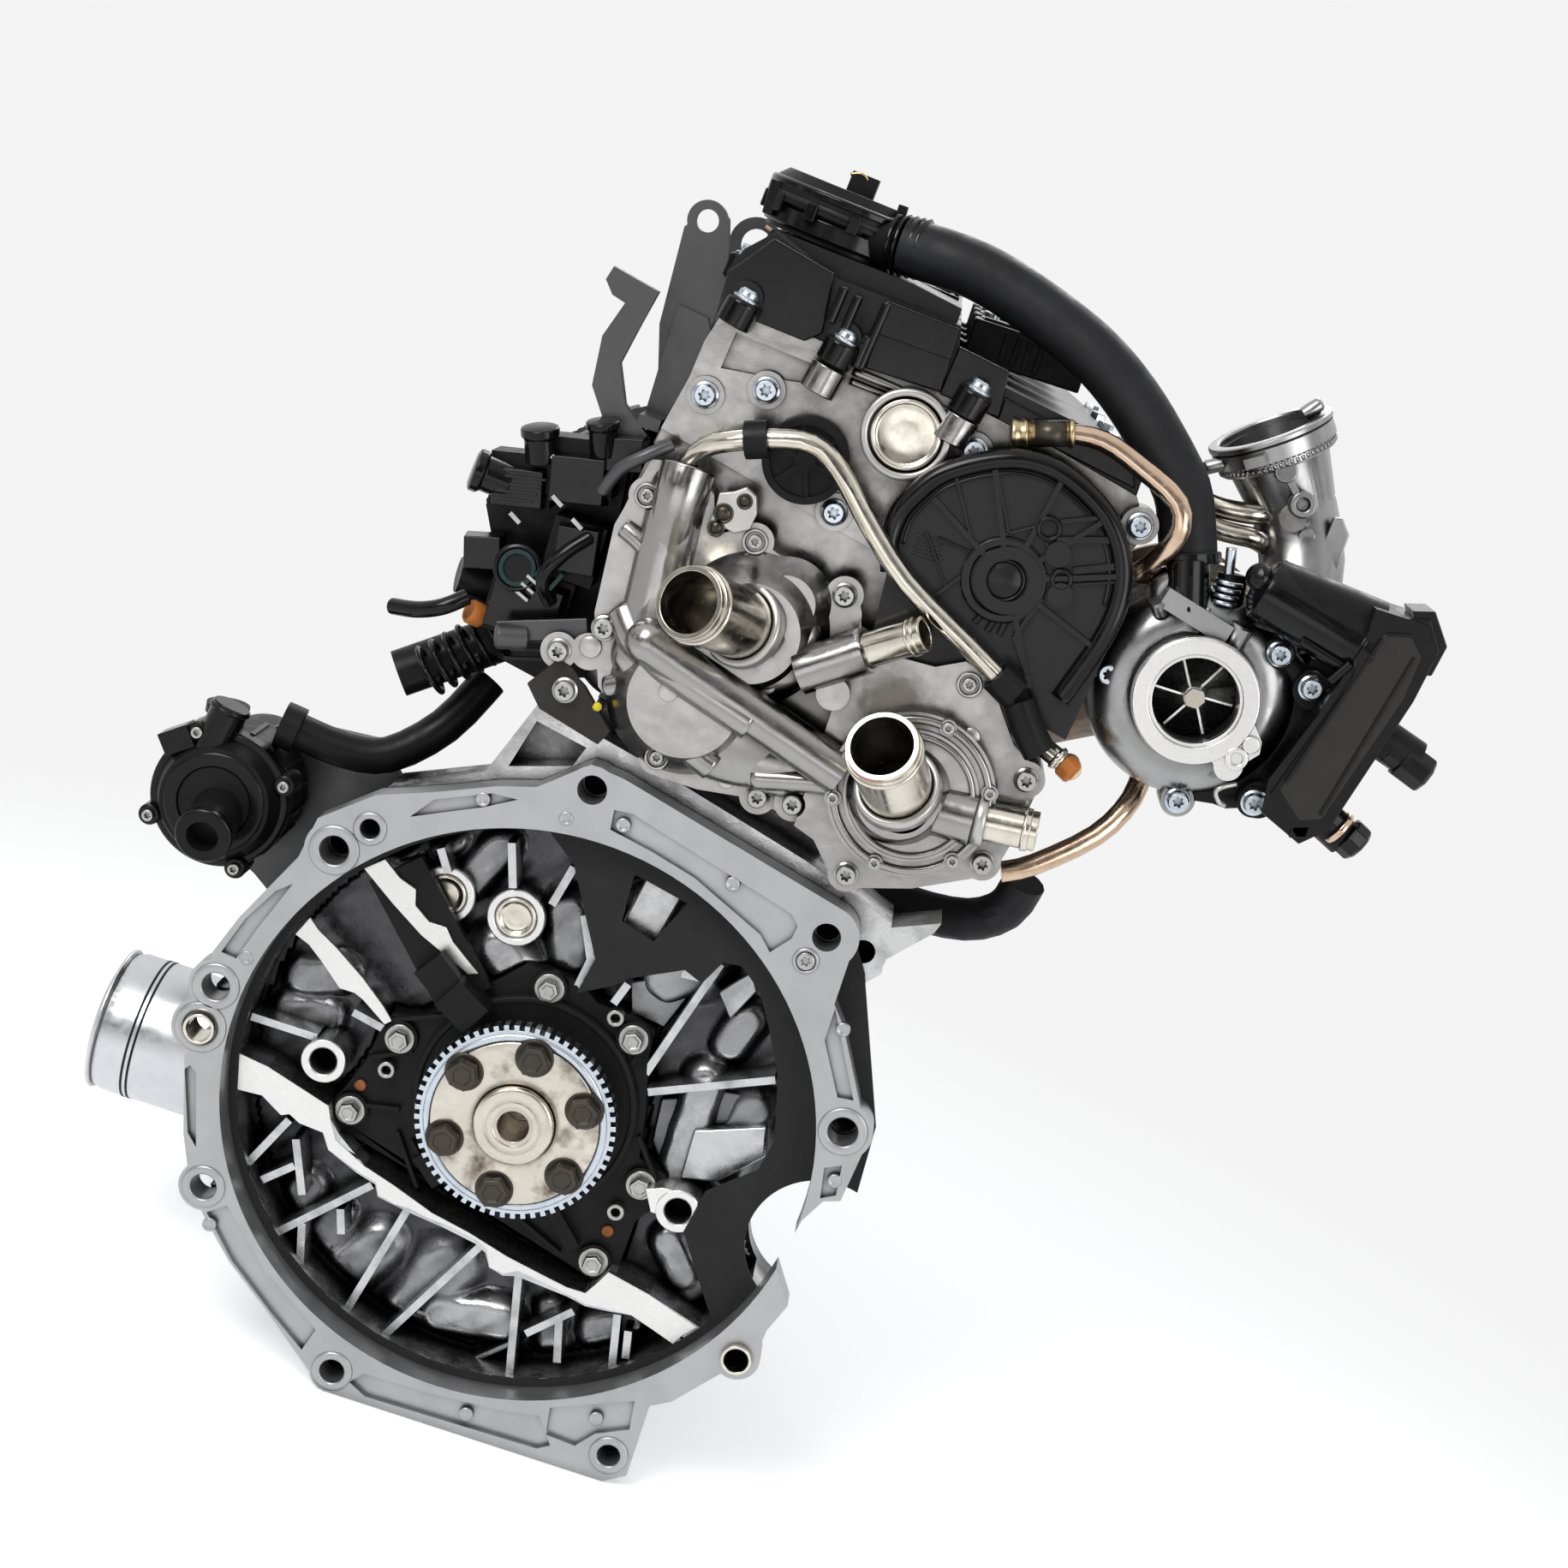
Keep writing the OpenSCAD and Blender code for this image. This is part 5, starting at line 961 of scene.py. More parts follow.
def add_housing_bolts():
    """Torx flange bolts of the cam housing and the upright bolts of the cover pillars."""
    bolts = Form()
    for x, z, y in ((-17, 370, 16), (10, 381, 16), (58, 336, 16), (112, 384, 14), (197, 375, 10)):
        bolts.socket_head((x, y + 2, z), FRONT, 5.2, 6.2, 1.25)
    for x, z in ((-11.5, 418), (38.2, 414), (104.6, 411)):
        bolts.turn((x, 12, z), PILLAR_AXIS, [
            (6.6, 0), (6.7, 1.2), (5.2, 2.2), (4.9, 4.2), (3.6, 5.6), (0, 6.2)], 32)
    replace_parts(bolts.make("housing_torx_bolts", "zinc", edge=0.2), "housing_bolts")


def add_cam_cover_front():
    """Gloss black boxes, ribs, pillars and ledges at the gearbox end of the cam cover."""
    form = Form()
    form.slab([(51, 405), (51, 437), (87, 435), (88, 421), (88.5, 405)], 17, 26)
    form.slab([(51, 422), (51, 438), (87.5, 436), (88, 421)], 12.5, 26)
    form.slab([(-22, 411), (-24, 428), (-8, 449), (24, 442), (27, 414), (20, 408)], 19, 26)
    form.slab([(88, 404), (90, 428), (116, 424), (118, 402)], 19, 26)
    form.slab([(118, 401), (118, 412), (186, 400), (190, 390), (150, 396)], 20, 26)
    level = facing(PILLAR_AXIS[2], -PILLAR_AXIS[0])
    for x, z, low in ((-11.5, 418, 13), (38.2, 414, 12), (104.6, 411, 13)):
        form.turn(up_pillar(x, 12, z, -low), PILLAR_AXIS, [(8.6, 0), (8.6, low - 1.4), (7.4, low)], 36)
        form.box(up_pillar(x, 18, z, -low / 2), (15, 12, low), level)
    for x, z0, z1, y in (
            (29, 420, 438, 13), (36.5, 419, 436, 13), (48.8, 404, 437, 13), (46.5, 404, 420, 12)):
        form.tube([(x, y, z0), (x + (z1 - z0) * 0.1, y, z1)], 2.3, 14)
    form.make("cam_cover_front", "gloss", edge=0.9)
    bosses = Form()
    for x, z in ((38.2, 414), (104.6, 411)):
        bosses.turn(up_pillar(x, 12.5, z, -27), PILLAR_AXIS, [(8.8, 0), (8.8, 13.6)], 36)
        bosses.box(up_pillar(x, 18.5, z, -20.2), (15.4, 12, 13.6), level)
    bosses.make("cam_housing_bosses", "cast", edge=0.8)
    rail = Form()
    rail.pipe([(46, 16, 402), (66, 17, 400.5), (92, 17, 397.6), (98, 17, 396.8)], 2.0, 12, 4)
    rail.pipe([(46, 18, 397), (62, 19, 396), (74, 19, 394.6)], 1.6, 12, 4)
    rail.tube([(56, 18, 362), (48, 16, 350), (42, 15, 342)], 2.6, 12)
    rail.make("cam_housing_ribs", "cast", edge=0)
    plug = Form()
    plug.hollow((79, 8.6, 382), FRONT, [
        (21.5, -6), (21.5, 0.8), (20.8, 1.6), (18.6, 1.6), (18, 1.0), (17.8, -6)], 72)
    plug.make("cam_plug_seat", "pale_cast", edge=0)


def add_separator_trim():
    """Rings, clips, ribs and the gold wire clip of the oil separator."""
    form = Form()
    top = (16 + 16 * math.sin(math.radians(4)), 102, 451)
    up = (math.sin(math.radians(4)), 0, math.cos(math.radians(4)))
    form.hollow(top, up, bead(38, 39.5, 35, 2, 12, 1), 72)
    form.hollow(top, up, [(42.2, 20), (42.2, 23.4), (40.6, 24.4), (38, 24.4), (38, 20)], 72)
    for i in range(12):
        turn = math.radians(30 * i + 8)
        side = Vector((math.cos(turn), math.sin(turn), 0))
        form.box(Vector(top) + side * 41.6 + Vector(up) * 14, (3, 6, 9), (side, (-side.y, side.x, 0), up))
    form.box((-19, 84, 466), (5, 10, 17))
    form.box((44, 74, 477), (5, 7, 9))
    form.box((52, 70, 475), (8, 8, 5))
    form.make("separator_ribs", "gloss", edge=0.7)
    band = Form()
    band.hollow(top, up, bead(41.9, 42.1, 40, 15.4, 17.6, 0.2), 72)
    band.make("separator_band", "lid", edge=0)
    wire = Form()
    wire.pipe([(22, 92, 479), (23, 91, 487), (19, 90, 489.6), (14, 91, 488)], 0.9, 10, 6)
    wire.pipe([(-17, 76, 452), (-10, 71, 450), (0, 68, 448.6)], 1.0, 10, 6)
    wire.make("separator_clips", "gold", edge=0)
    cuff = Form()
    for i in range(5):
        at = (44 + 3.4 * i, 72.5 - 0.9 * i, 463 + 0.34 * i)
        cuff.hollow(at, (0.97, -0.24, 0.03), bead(14.2, 15.2, 12.4, 0, 2.4, 0.6), 40)
    cuff.hollow((226, 29, 365), (0.33, -0.1, -0.93), [
        (15.2, -4), (15.8, -3.4), (15.8, 1.2), (14.6, 1.8), (13, 1.8), (12.6, -4)], 40)
    cuff.make("breather_hose_cuffs", "gloss", edge=0.3)


# ---------- belt cover of the pump ----------

COVER_RIM = [
    (92, 320), (87, 334), (87.5, 347.5), (92.2, 358.5), (98, 367.6), (105.2, 374.1), (117.1, 381.6),
    (130.6, 387.3), (143.5, 389.1), (155.4, 387.3), (168.5, 382.2), (180.4, 374.8), (189.7, 364.3),
    (196.2, 350.8), (198.4, 335.9), (196.6, 319.7), (192, 303.6), (187, 287)]


def add_belt_cover():
    """Gloss rim, hub rings, posts and ribs of the pump's belt cover."""
    rim = Form()
    path = curve_points([(x, 0.6, z) for x, z in COVER_RIM], 5)
    rim.tube(path, 5.0, 20)
    inner = curve_points([
        (143 + (x - 143) * 0.885, -1.0, 334 + (z - 334) * 0.885) for x, z in COVER_RIM[1:15]], 5)
    rim.tube(inner, 0.9, 10)
    rim.make("belt_cover_rim", "gloss", edge=0)
    hub = Form()
    at = (143.6, -1, 332.5)
    hub.hollow(at, FRONT, lip(20.5, 15.6, -3, 1.9, 0.9, 0.7, 0.8, 0.7), 72)
    hub.hollow(at, FRONT, lip(10.4, 8.6, -3, 2.2, 0.5, 0.6, 0.4, 0.6), 56)
    for x, z, radius, hole in ((156, 362, 6.2, 3.9), (169.2, 341, 5.6, 3.2)):
        hub.hollow((x, -1, z), FRONT, [
            (radius, -3), (radius - 0.2, 2.4), (radius - 0.8, 3.0), (hole + 0.6, 3.0), (hole, 2.4),
            (hole, -3)], 36)
    ribs = (
        ((107, 372), (125, 343), 1.6), ((123.5, 381.5), (139.5, 353), 1.6),
        ((160, 366.5), (178, 374.5), 2.4), ((161, 358), (186, 366), 3.4), ((156, 356), (167, 347), 1.4),
        ((173, 346.5), (195, 356.5), 3.6), ((175, 340.5), (196.5, 349), 1.4),
        ((163.6, 330), (157, 308.5), 2.6), ((157, 308.5), (175, 284), 2.4), ((150, 361), (136, 352), 1.4),
        ((163, 341), (158, 337), 1.6), ((102, 343), (119, 321), 1.2), ((125, 329), (111, 309), 2.0),
        ((128, 340), (108, 342), 1.0))
    for a, b, wide in ribs:
        hub.bar(a, b, -0.6, 3.6, wide)
    for x0, z0, x1, z1 in ((142, 320, 137, 309), (147, 320, 144, 307), (152, 322, 150, 307)):
        hub.tube([(x0, -0.4, z0), (x1, -0.4, z1)], 1.7, 12)
    hub.make("belt_cover_ribs", "gloss", edge=0.35)
    face = Form()
    face.turn(at, FRONT, [(8.6, -3), (8.6, 1.0), (8.0, 1.5), (0, 1.6)], 48)
    face.hollow(at, FRONT, lip(15.6, 10.6, -3, 1.7, 0.6, 0.6), 64)
    face.make("belt_cover_hub", "panel", edge=0)
    dimples = Form()
    for row in range(7):
        for step in range(8 - row // 3):
            place = (99 + 1.9 * step + 0.95 * (row % 2), 0.2, 331 + 1.7 * row)
            dimples.turn(place, FRONT, [(0.8, 0), (0.7, 0.35), (0, 0.4)], 6)
    dimples.make("belt_cover_texture", "panel", edge=0)


# ---------- turbocharger, actuator and charge elbow ----------

TURBO = (248, 306)


def add_turbo_face():
    """Inlet lip, casing bolts, bosses, stubs and fittings of the compressor."""
    ring = Form()
    ring.hollow((248, 0.2, 306), FRONT, [
        (30.2, -3), (30.2, 0.6), (29.6, 1.2), (22.6, 1.2), (21.4, -0.4), (20.9, -3)], 96)
    ring.turn((279.6, 0, 294.4), FRONT, stud(4.2, -3, 1.9, 0.5, 0.5), 28)
    ring.hollow((275.3, 0, 285.9), FRONT, lip(5.6, 3, -3, 1.3, 0.6, 0.4, 0.4, 0.5), 28)
    ring.slab([
        (277, 305), (284, 297), (285, 291), (280, 285), (276, 280), (270, 281), (266, 286)], -0.2, 4.5)
    ring.make("compressor_inlet_lip", "milled", edge=0.3)
    bolts = Form()
    for x, z, y in (
            (279.6, 338, 13), (299, 327.4, 12), (258.6, 254.6, 20), (292, 266.5, 11), (206.6, 303, 20)):
        bolts.socket_head((x, y, z), FRONT, 5.0, 6.4, 1.28)
    bolts.make("compressor_bolts", "zinc", edge=0.25)
    seats = Form()
    for x, z, y in ((279.6, 338, 13), (299, 327.4, 12), (292, 266.5, 11)):
        seats.turn((x, 30, z), FRONT, [(8.0, 0), (8.0, 29 - y), (7.2, 30 - y)], 32)
    seats.tube([(280, 22, 338), (290, 22, 332), (299, 22, 327)], 6, 16)
    seats.tube([(292, 24, 266), (282, 24, 262), (268, 28, 262)], 5, 16)
    seats.make("actuator_feet", "plastic", edge=0.6)
    casing = Form()
    casing.pipe([(222, 22, 338), (218, 24, 350), (224, 22, 358)], 7, 20, 5)
    casing.box((236, 14, 343), (36, 12, 10), facing(0.97, -0.24))
    casing.turn((258, 14, 339), (0.1, -0.2, 1), stud(6, -6, 7, 1, 1), 24)
    casing.turn((218, 12, 342), (-0.5, -0.5, 0.6), stud(4.2, -4, 3.8, 0.8, 0.8), 20)
    casing.turn((258.6, 40, 254.6), FRONT, [(8.6, 0), (8.6, 19.4), (7.8, 20)], 32)
    casing.turn((206.6, 40, 303), FRONT, [(8.6, 0), (8.6, 19.4), (7.8, 20)], 32)
    casing.make("compressor_casing_bosses", "satin_cast", edge=0.8)
    hook = Form()
    hook.pipe([
        (281, 8, 273), (275, 6, 270), (272.6, 6, 266.5), (275.5, 6, 262.5), (279, 8, 261.4)], 1.2, 12, 6)
    hook.make("actuator_wire_hook", "pale_cast", edge=0)
    stub = Form()
    stub.turn((226, 22, 362), (0.3, -0.1, -0.95), [(10.6, -4), (10.6, 20), (9.8, 21)], 32)
    for k in range(3):
        turn = math.radians(-140 + 50 * k)
        side = Vector((math.cos(turn), math.sin(turn), 0))
        stub.box(
            Vector((229.2, 20, 352)) + side * 10.6, (1.6, 2, 17),
            (side, (-side.y, side.x, 0), (0.3, -0.1, -0.95)))
    stub.turn((250, 24, 352), (0.15, -0.1, -0.98), [(7.4, -14), (7.4, 8), (6.6, 9)], 28)
    stub.make("compressor_inlet_stubs", "gloss", edge=0.4)
    fitting = Form()
    for k in range(4):
        fitting.hollow(
            (246.5 + 0.2 * k, 20, 363 - 3.2 * k), (0.1, 0, -1), bead(6.2, 6.8, 3, 0, 2.2, 0.5), 28)
    fitting.pipe([(245, 19, 366), (243.5, 18, 372), (242, 18, 378)], 2.6, 14, 4)
    fitting.make("sensor_fitting", "zinc", edge=0)


def add_actuator():
    """Motor, ribbed gear case, lid and plugs of the boost actuator."""
    form = Form()
    form.turn((262, 10, 365), (0.975, -0.03, -0.22), [
        (5, -5.5), (8, -5), (14.6, -1), (15.6, 2), (15.6, 50), (17.2, 51), (17.2, 58), (15, 59)], 48)
    form.turn((257.5, 5, 370), (-0.6, -0.7, 0.1), [(6.4, -4), (6.4, 3), (5.0, 5), (2.5, 6), (0, 6.2)], 28)
    form.slab([
        (315, 371), (337, 377), (346, 364), (343, 338), (327, 268), (316, 257), (294, 266), (292, 282),
        (303, 318), (309, 345)], -6.2, 30)
    form.slab([(328, 378), (338, 381), (349, 367), (347, 352), (341, 350), (338, 364)], -4.5, 22)
    for x, z, r, h in ((344, 312, 8.2, 12), (351, 309, 9.6, 12)):
        form.turn((x, 6, z), (0.94, 0, -0.32), [(r, -2), (r, h), (r * 0.8, h + 1.6)], 8, 0.3)
    form.turn((326, 6, 272), (0.9, 0, -0.42), [(8, -3), (8, 8), (7, 9)], 10)
    form.turn((337, 6, 267), (0.9, 0, -0.42), [(7.5, 0), (9.6, 1), (9.6, 8), (7.8, 9.8), (0, 9.8)], 10)
    for k in range(7):
        t = k / 6
        form.box((311 + 5.8 * t, -4, 262 + 2 * t), (2.2, 8, 6))
    form.tube([(303, -6, 335), (309, -6.4, 346)], 2.4, 12)
    form.tube([(284, -3, 349), (306, -4, 343.5)], 2.2, 12)
    form.make("actuator_body", "gloss", edge=0.9)
    lid = Form()
    lid.slab([
        (318.5, 364), (330, 368), (339, 359), (338, 338), (322, 272), (312, 268), (298, 279), (307, 316),
        (313, 346)], -8.4, 0)
    lid.make("actuator_lid", "lid", edge=1.2)
    grooves = Form()
    for a, b in (((335.5, 358), (320, 274)), ((318.5, 362), (299.5, 284)), ((320, 364.5), (331, 367.5))):
        grooves.bar(a, b, -8.6, 1.5, 1.5)
    grooves.make("actuator_ridges", "gloss", edge=0.4)
    cap = Form()
    cap.hollow((331.5, 4, 269.5), (0.9, 0, -0.42), bead(8.3, 8.9, 6, 0, 3.4, 0.6), 32)
    cap.make("actuator_plug_seal", "copper", edge=0)


def add_elbow_trim():
    """Mouth ring, knurled band, bosses and lugs of the charge elbow."""
    low = Vector((272, 79, 402))
    axis = (Vector((250, 76, 431)) - low).normalized()
    form = Form()
    form.hollow(low, axis, [
        (28.6, 25), (29.2, 26), (29.2, 37.5), (31.2, 38.3), (31.2, 40.4), (30.4, 41), (26, 41), (25.4, 40),
        (25.4, 25)], 96)
    form.make("elbow_mouth_ring", "satin_cast", edge=0.2)
    side, up, along = basis(axis)
    knurl = Form()
    for row in range(4):
        for k in range(64):
            turn = 2 * math.pi * (k + 0.5 * (row % 2)) / 64
            across = math.cos(turn) * side + math.sin(turn) * up
            tangent = -math.sin(turn) * side + math.cos(turn) * up
            knurl.box(
                low + along * (27.2 + 2.7 * row) + across * 29.2, (1.2, 1.7, 1.9), (across, tangent, along))
    knurl.make("elbow_knurling", "satin_cast", edge=0)
    marks = Form()
    for x, y, z, r in ((258.5, 47, 418, 5.6), (279.5, 53.5, 391, 4.4)):
        marks.turn((x, y + 3, z), (0, -1, 0.05), [(r, -3), (r, 1.4), (r - 0.6, 2), (0, 2)], 32)
    marks.hollow((271.5, 51, 405.5), (0, -1, 0.05), lip(6.6, 3.2, -4, 4.2, 0.7, 0.8, 0.6, 0.6), 36)
    marks.turn((271.5, 51, 405.5), (0, -1, 0.05), [(3.2, -2), (3.0, 1.5), (0, 1.5)], 24)
    marks.box((265, 50.5, 411.5), (13, 4, 3.4), facing(0.72, -0.69))
    marks.make("elbow_bosses", "satin_cast", edge=0.3)
    lugs = Form()
    for x, z, dx, dz in ((228, 410, -0.85, -0.5), (262, 449, 0.6, 0.8)):
        lugs.turn((x, 66, z), (dx, -0.1, dz), [(3.6, -4), (3.6, 5), (2.8, 6.4), (0, 6.8)], 20)
    lugs.slab([(289, 404), (293, 405), (299, 398), (299, 378), (294, 366), (288, 368)], 56, 61)
    lugs.make("elbow_lugs", "satin_cast", edge=0.7)


def add_turbo_tubes():
    """Open bead, sleeve and ring of the coolant tube, oil lines and a plugged stub."""
    form = Form()
    start, ahead = Vector((128.5, 14, 398)), Vector((150, 14.5, 405))
    axis = (ahead - start).normalized()
    form.hollow(start, axis, [
        (6.4, -3), (7.2, -2.2), (7.2, -0.6), (6.4, 0.6), (6.4, 2.6), (7.0, 3.4), (7.0, 4.4), (6.2, 5),
        (4.2, 5), (4.2, -3)], 40)
    form.hollow(start, axis, bead(6.2, 7, 5, 24, 26.8, 0.8), 40)
    form.tube([start + axis * 4, start + axis * 25], 6.1, 28)
    form.make("coolant_tube_end", "gold", edge=0)
    dark = Form()
    # Painted shade: a dark disc closes the open bore, standing for the inside of the tube
    dark.turn(start - axis * 2.6, -axis, [(4.2, -3), (4.2, -0.2), (0, -0.2)], 28)
    dark.tube([start + axis * 8, start + axis * 23], 6.3, 28)
    dark.make("coolant_tube_sleeve_and_bore_shade", "dark_bolt", edge=0)
    oil = Form()
    oil.pipe([(214, 70, 394), (234, 66, 391), (252, 64, 393), (262, 70, 396)], 5.2, 24, 8)
    oil.pipe([(218, 66, 384), (238, 62, 381), (256, 62, 382), (264, 70, 380)], 5.2, 24, 8)
    oil.make("turbo_oil_lines", "nickel", edge=0)
    stub = Form()
    stub.pipe([(184, 14, 262), (192, 12, 259), (199, 10.5, 256.5)], 5.0, 18, 4)
    stub.hollow((198, 10.8, 256.8), (0.9, -0.25, -0.4), [
        (5.6, -3), (6.2, -2.4), (6.2, -1), (5.6, 0), (4, 0), (4, -3)], 24)
    stub.make("coolant_bleed_stub", "nickel", edge=0)
    cap = Form()
    cap.turn((203.8, 9.5, 254), (0.9, -0.35, -0.4), [
        (5.4, -5), (6.4, -4.4), (6.4, 1.4), (5.4, 2.6), (3.4, 2.6), (2.8, 1.8), (0, 1.8)], 8)
    cap.make("orange_stub_cap", "orange", edge=0.4)


# ---------- intake side: connectors, harness and auxiliary pump ----------

def add_intake_fittings():
    """Sensor plugs, latches and small hoses on the gearbox end of the intake manifold."""
    body = Form()
    for center, size, lean in (
            ((-91, 30, 299), (24, 12, 18), -12), ((-64, 26, 312), (26, 14, 22), -12),
            ((-72, 33, 243), (34, 14, 26), 0), ((-55, 27, 279), (20, 12, 22), -8),
            ((-100, 40, 262), (18, 14, 16), -15), ((-47, 30, 330), (20, 16, 16), -14)):
        body.box(center, size, facing(*polar(0, 0, 1, -lean)), 1.12)
    body.turn(
        (-86, 26, 322), (-0.3, -0.2, 0.93), [(8, -8), (8, 4), (9.4, 5), (9.4, 9), (6, 10), (0, 10)], 28)
    body.turn(
        (-58, 26, 334), (-0.3, -0.2, 0.93), [(7, -8), (7, 5), (8.2, 6), (8.2, 9), (5, 10), (0, 10)], 28)
    body.turn((-104, 30, 300), (-1, -0.2, 0.1), [
        (9, -8), (9, 5), (10.6, 6), (10.6, 10), (8, 11), (0, 11)], 28)
    body.turn((-80, 24, 262), (0, -1, 0.1), [(12, -10), (12, 1), (10, 2), (9, -1), (0, -1)], 36)
    for k in range(6):
        body.hollow(
            (-84 - 5.2 * k, 56 - 0.8 * k, 222 - 5.4 * k), (-0.68, -0.1, -0.7),
            bead(12.6, 13.8, 10, 0, 3, 0.8), 32)
    body.pipe([(-60, 24, 250), (-66, 18, 262), (-60, 18, 276), (-50, 22, 288)], 3.4, 14, 6)
    body.pipe([(-100, 30, 240), (-110, 26, 232), (-122, 30, 226), (-136, 38, 222)], 4.2, 14, 6)
    body.make("intake_sensor_plugs", "gloss", edge=0.9)
    matte = Form()
    for k in range(4):
        matte.box((-62 + 2 * k, 19 + 0.6 * k, 222 + 5 * k), (24, 2.4, 1.8), facing(0.96, 0.28))
        matte.box((-92 + 1.2 * k, 23.6, 293 + 4 * k), (20, 1.8, 1.2), facing(0.97, 0.2))
    matte.make("intake_plug_ribs", "panel", edge=0.3)
    metal = Form()
    for x, z, y in ((-70, 300, 18.4), (-76, 318, 20), (-88, 285, 24), (-58, 292, 20.6)):
        metal.box((x, y, z), (7, 1.6, 2.4), facing(0.85, -0.5))
    for k in range(3):
        metal.box((-74 + 1.6 * k, 22.4, 250 + 4.4 * k), (8, 1.4, 1.8), facing(0.9, -0.4))
    metal.make("intake_plug_latches", "bolt", edge=0.3)
    seal = Form()
    seal.hollow((-80, 24, 262), (0, -1, 0.1), [
        (9.2, 0), (9.2, 1.4), (7.0, 1.4), (6.4, -1), (6.4, -2), (9.2, -2)], 32)
    for k in range(3):
        seal.box((-68 + 4.2 * k, 20.8, 266 - 1.9 * k), (2.2, 5, 10), facing(0.9, -0.4))
    seal.make("intake_plug_inserts", "teal", edge=0.3)
    copper = Form()
    copper.turn((-97, 36, 232), (-0.8, -0.5, 0.2), [
        (5.4, -6), (6.2, -5), (6.2, 1), (5.4, 2), (4.4, 2), (3.8, 1), (0, 1)], 20)
    copper.make("intake_stub_seal", "orange", edge=0)
    strap = Form()
    strap.pipe([(-24, 6, 344), (-34, 2, 336), (-44, 4, 326), (-50, 10, 312)], 3.2, 12, 6)
    strap.box((-58, 8, 240), (44, 3, 10), facing(0.94, 0.34))
    strap.turn((-72, 6, 232), (-0.9, -0.3, -0.2), stud(6, -8, 7, 1, 1), 24)
    strap.make("harness_straps", "bracket", edge=0.6)


AUX_PUMP = (-195, 98)


def add_pump_fittings():
    """Rings, ribs, screws, plug and outlet of the auxiliary coolant pump."""
    form = Form()
    form.hollow((-195, 46, 98), FRONT, lip(35.6, 29, -8, 1.6, 1, 1), 72)
    form.hollow((-195, 37, 98), FRONT, lip(26, 18, -2, 2, 1, 0.8), 64)
    form.hollow((-190, 12, 88.6), (0.05, -1, -0.2), [
        (14.2, -2), (14.4, 0), (14.4, 2.6), (13.4, 3.4), (9, 3.4), (8.6, -2)], 48)
    for k in range(18):
        form.bar(polar(*AUX_PUMP, 34, 20 * k), polar(*AUX_PUMP, 36.4, 20 * k), 68, 30, 2.6)
    for k in range(4):
        x, z = polar(*AUX_PUMP, 36, 30 + 90 * k)
        form.turn((x, 41.5, z), FRONT, stud(5.6, -12, 1.2, 0.8, 0.8), 24)
    form.box((-222, 46, 122), (16, 16, 12), facing(0.8, 0.6))
    form.pipe([(-208, 46, 108), (-206, 46, 122), (-203, 46, 136), (-201, 46, 147)], 9.4, 28, 5)
    form.hollow((-201.6, 46, 143), (0.12, 0, 1), [
        (9.4, 0), (10.6, 0.8), (10.6, 2.4), (9.4, 3.4), (7, 3.4), (7, 0)], 32)
    form.make("aux_pump_ribs", "gloss", edge=0.6)
    screws = Form()
    for k in range(4):
        x, z = polar(*AUX_PUMP, 36, 30 + 90 * k)
        screws.socket_head((x, 40.2, z), FRONT, 3.0, 2.4)
    screws.make("aux_pump_screws", "bolt", edge=0.2)


def add_ring_marks():
    """Rims round the flange holes, ejector discs and one socket bolt of the flange ring."""
    form = Form()
    for x, z, hole, rim in (
            (-124, 105, 7.3, 12.6), (-110, 121, 4.9, 8.4), (-162, 19, 7, 12.0), (-164, -4, 8.6, 13.2),
            (-141, -85, 6.7, 11.2), (-52, -160, 6.4, 10.6), (96, -157, 5.9, 10.2), (156, 48, 7.5, 12.4)):
        form.hollow((x, 0, z), FRONT, lip(rim, hole, -2, 1.1, 0.7, 0.6), 48)
    for x, z in (
            (-20, 156.4), (7.3, 162), (-61.4, 152.6), (66.5, 151), (-151.2, 38), (140, 98), (160, 22),
            (-133, -104), (20, -160), (84, -140)):
        form.turn((x, 0.6, z), FRONT, [
            (3.6, -2), (3.6, 0.7), (3.1, 1.0), (2.6, 1.0), (2.3, 0.7), (0, 0.7)], 24)
    form.hollow((112, 0, 125.6), FRONT, lip(6.6, 5, -2, 1.2, 0.6, 0.4, 0.2, 0.6), 36)
    form.make("flange_ring_rims", "flange", edge=0)
    bolt = Form()
    bolt.socket_head((112, 0.4, 125.6), FRONT, 4.4, 2.0)
    bolt.make("flange_ring_bolt", "bolt", edge=0.2)


def add_neck_sealant():
    """Sealant left round the mouth of the lower neck."""
    form = Form()
    side, up, along = basis(LOWER_NECK[1])
    mouth = Vector(LOWER_NECK[0]) + along * 50.4
    for start, sweep in ((0.4, 1.3), (2.2, 0.9), (3.8, 1.6)):
        arc = []
        for k in range(10):
            turn = start + sweep * k / 9
            arc.append(mouth + (math.cos(turn) * side + math.sin(turn) * up) * 16.4)
        form.tube(arc, [0.5 + 0.7 * math.sin(math.pi * k / 9) for k in range(10)], 10)
    form.make("neck_sealant", "sealant", edge=0)


def add_neck_shade_discs():
    """Black discs at the foot of the coolant necks: painted shade seen down the necks."""
    form = Form()
    for neck, radius in ((UPPER_NECK, 14.3), (LOWER_NECK, 14.3), (HEATER_NECK, 6.4), (SIDE_NECK, 7.3)):
        # Painted shade: a black disc deep in each neck
        form.turn(*neck, [(radius, 2), (radius, 4), (0, 4)], 36)
    form.make("neck_shade_discs", "black_sheet", edge=0)


# ---------- sides away from the camera ----------

BLOCK_SIDE = [
    (64, 206), (69, 202), (69, 94), (77, 58), (89, 28), (96.5, 2), (98, -62), (90, -64), (88, 0), (80, 26),
    (68, 56), (60, 92), (60, 206)]
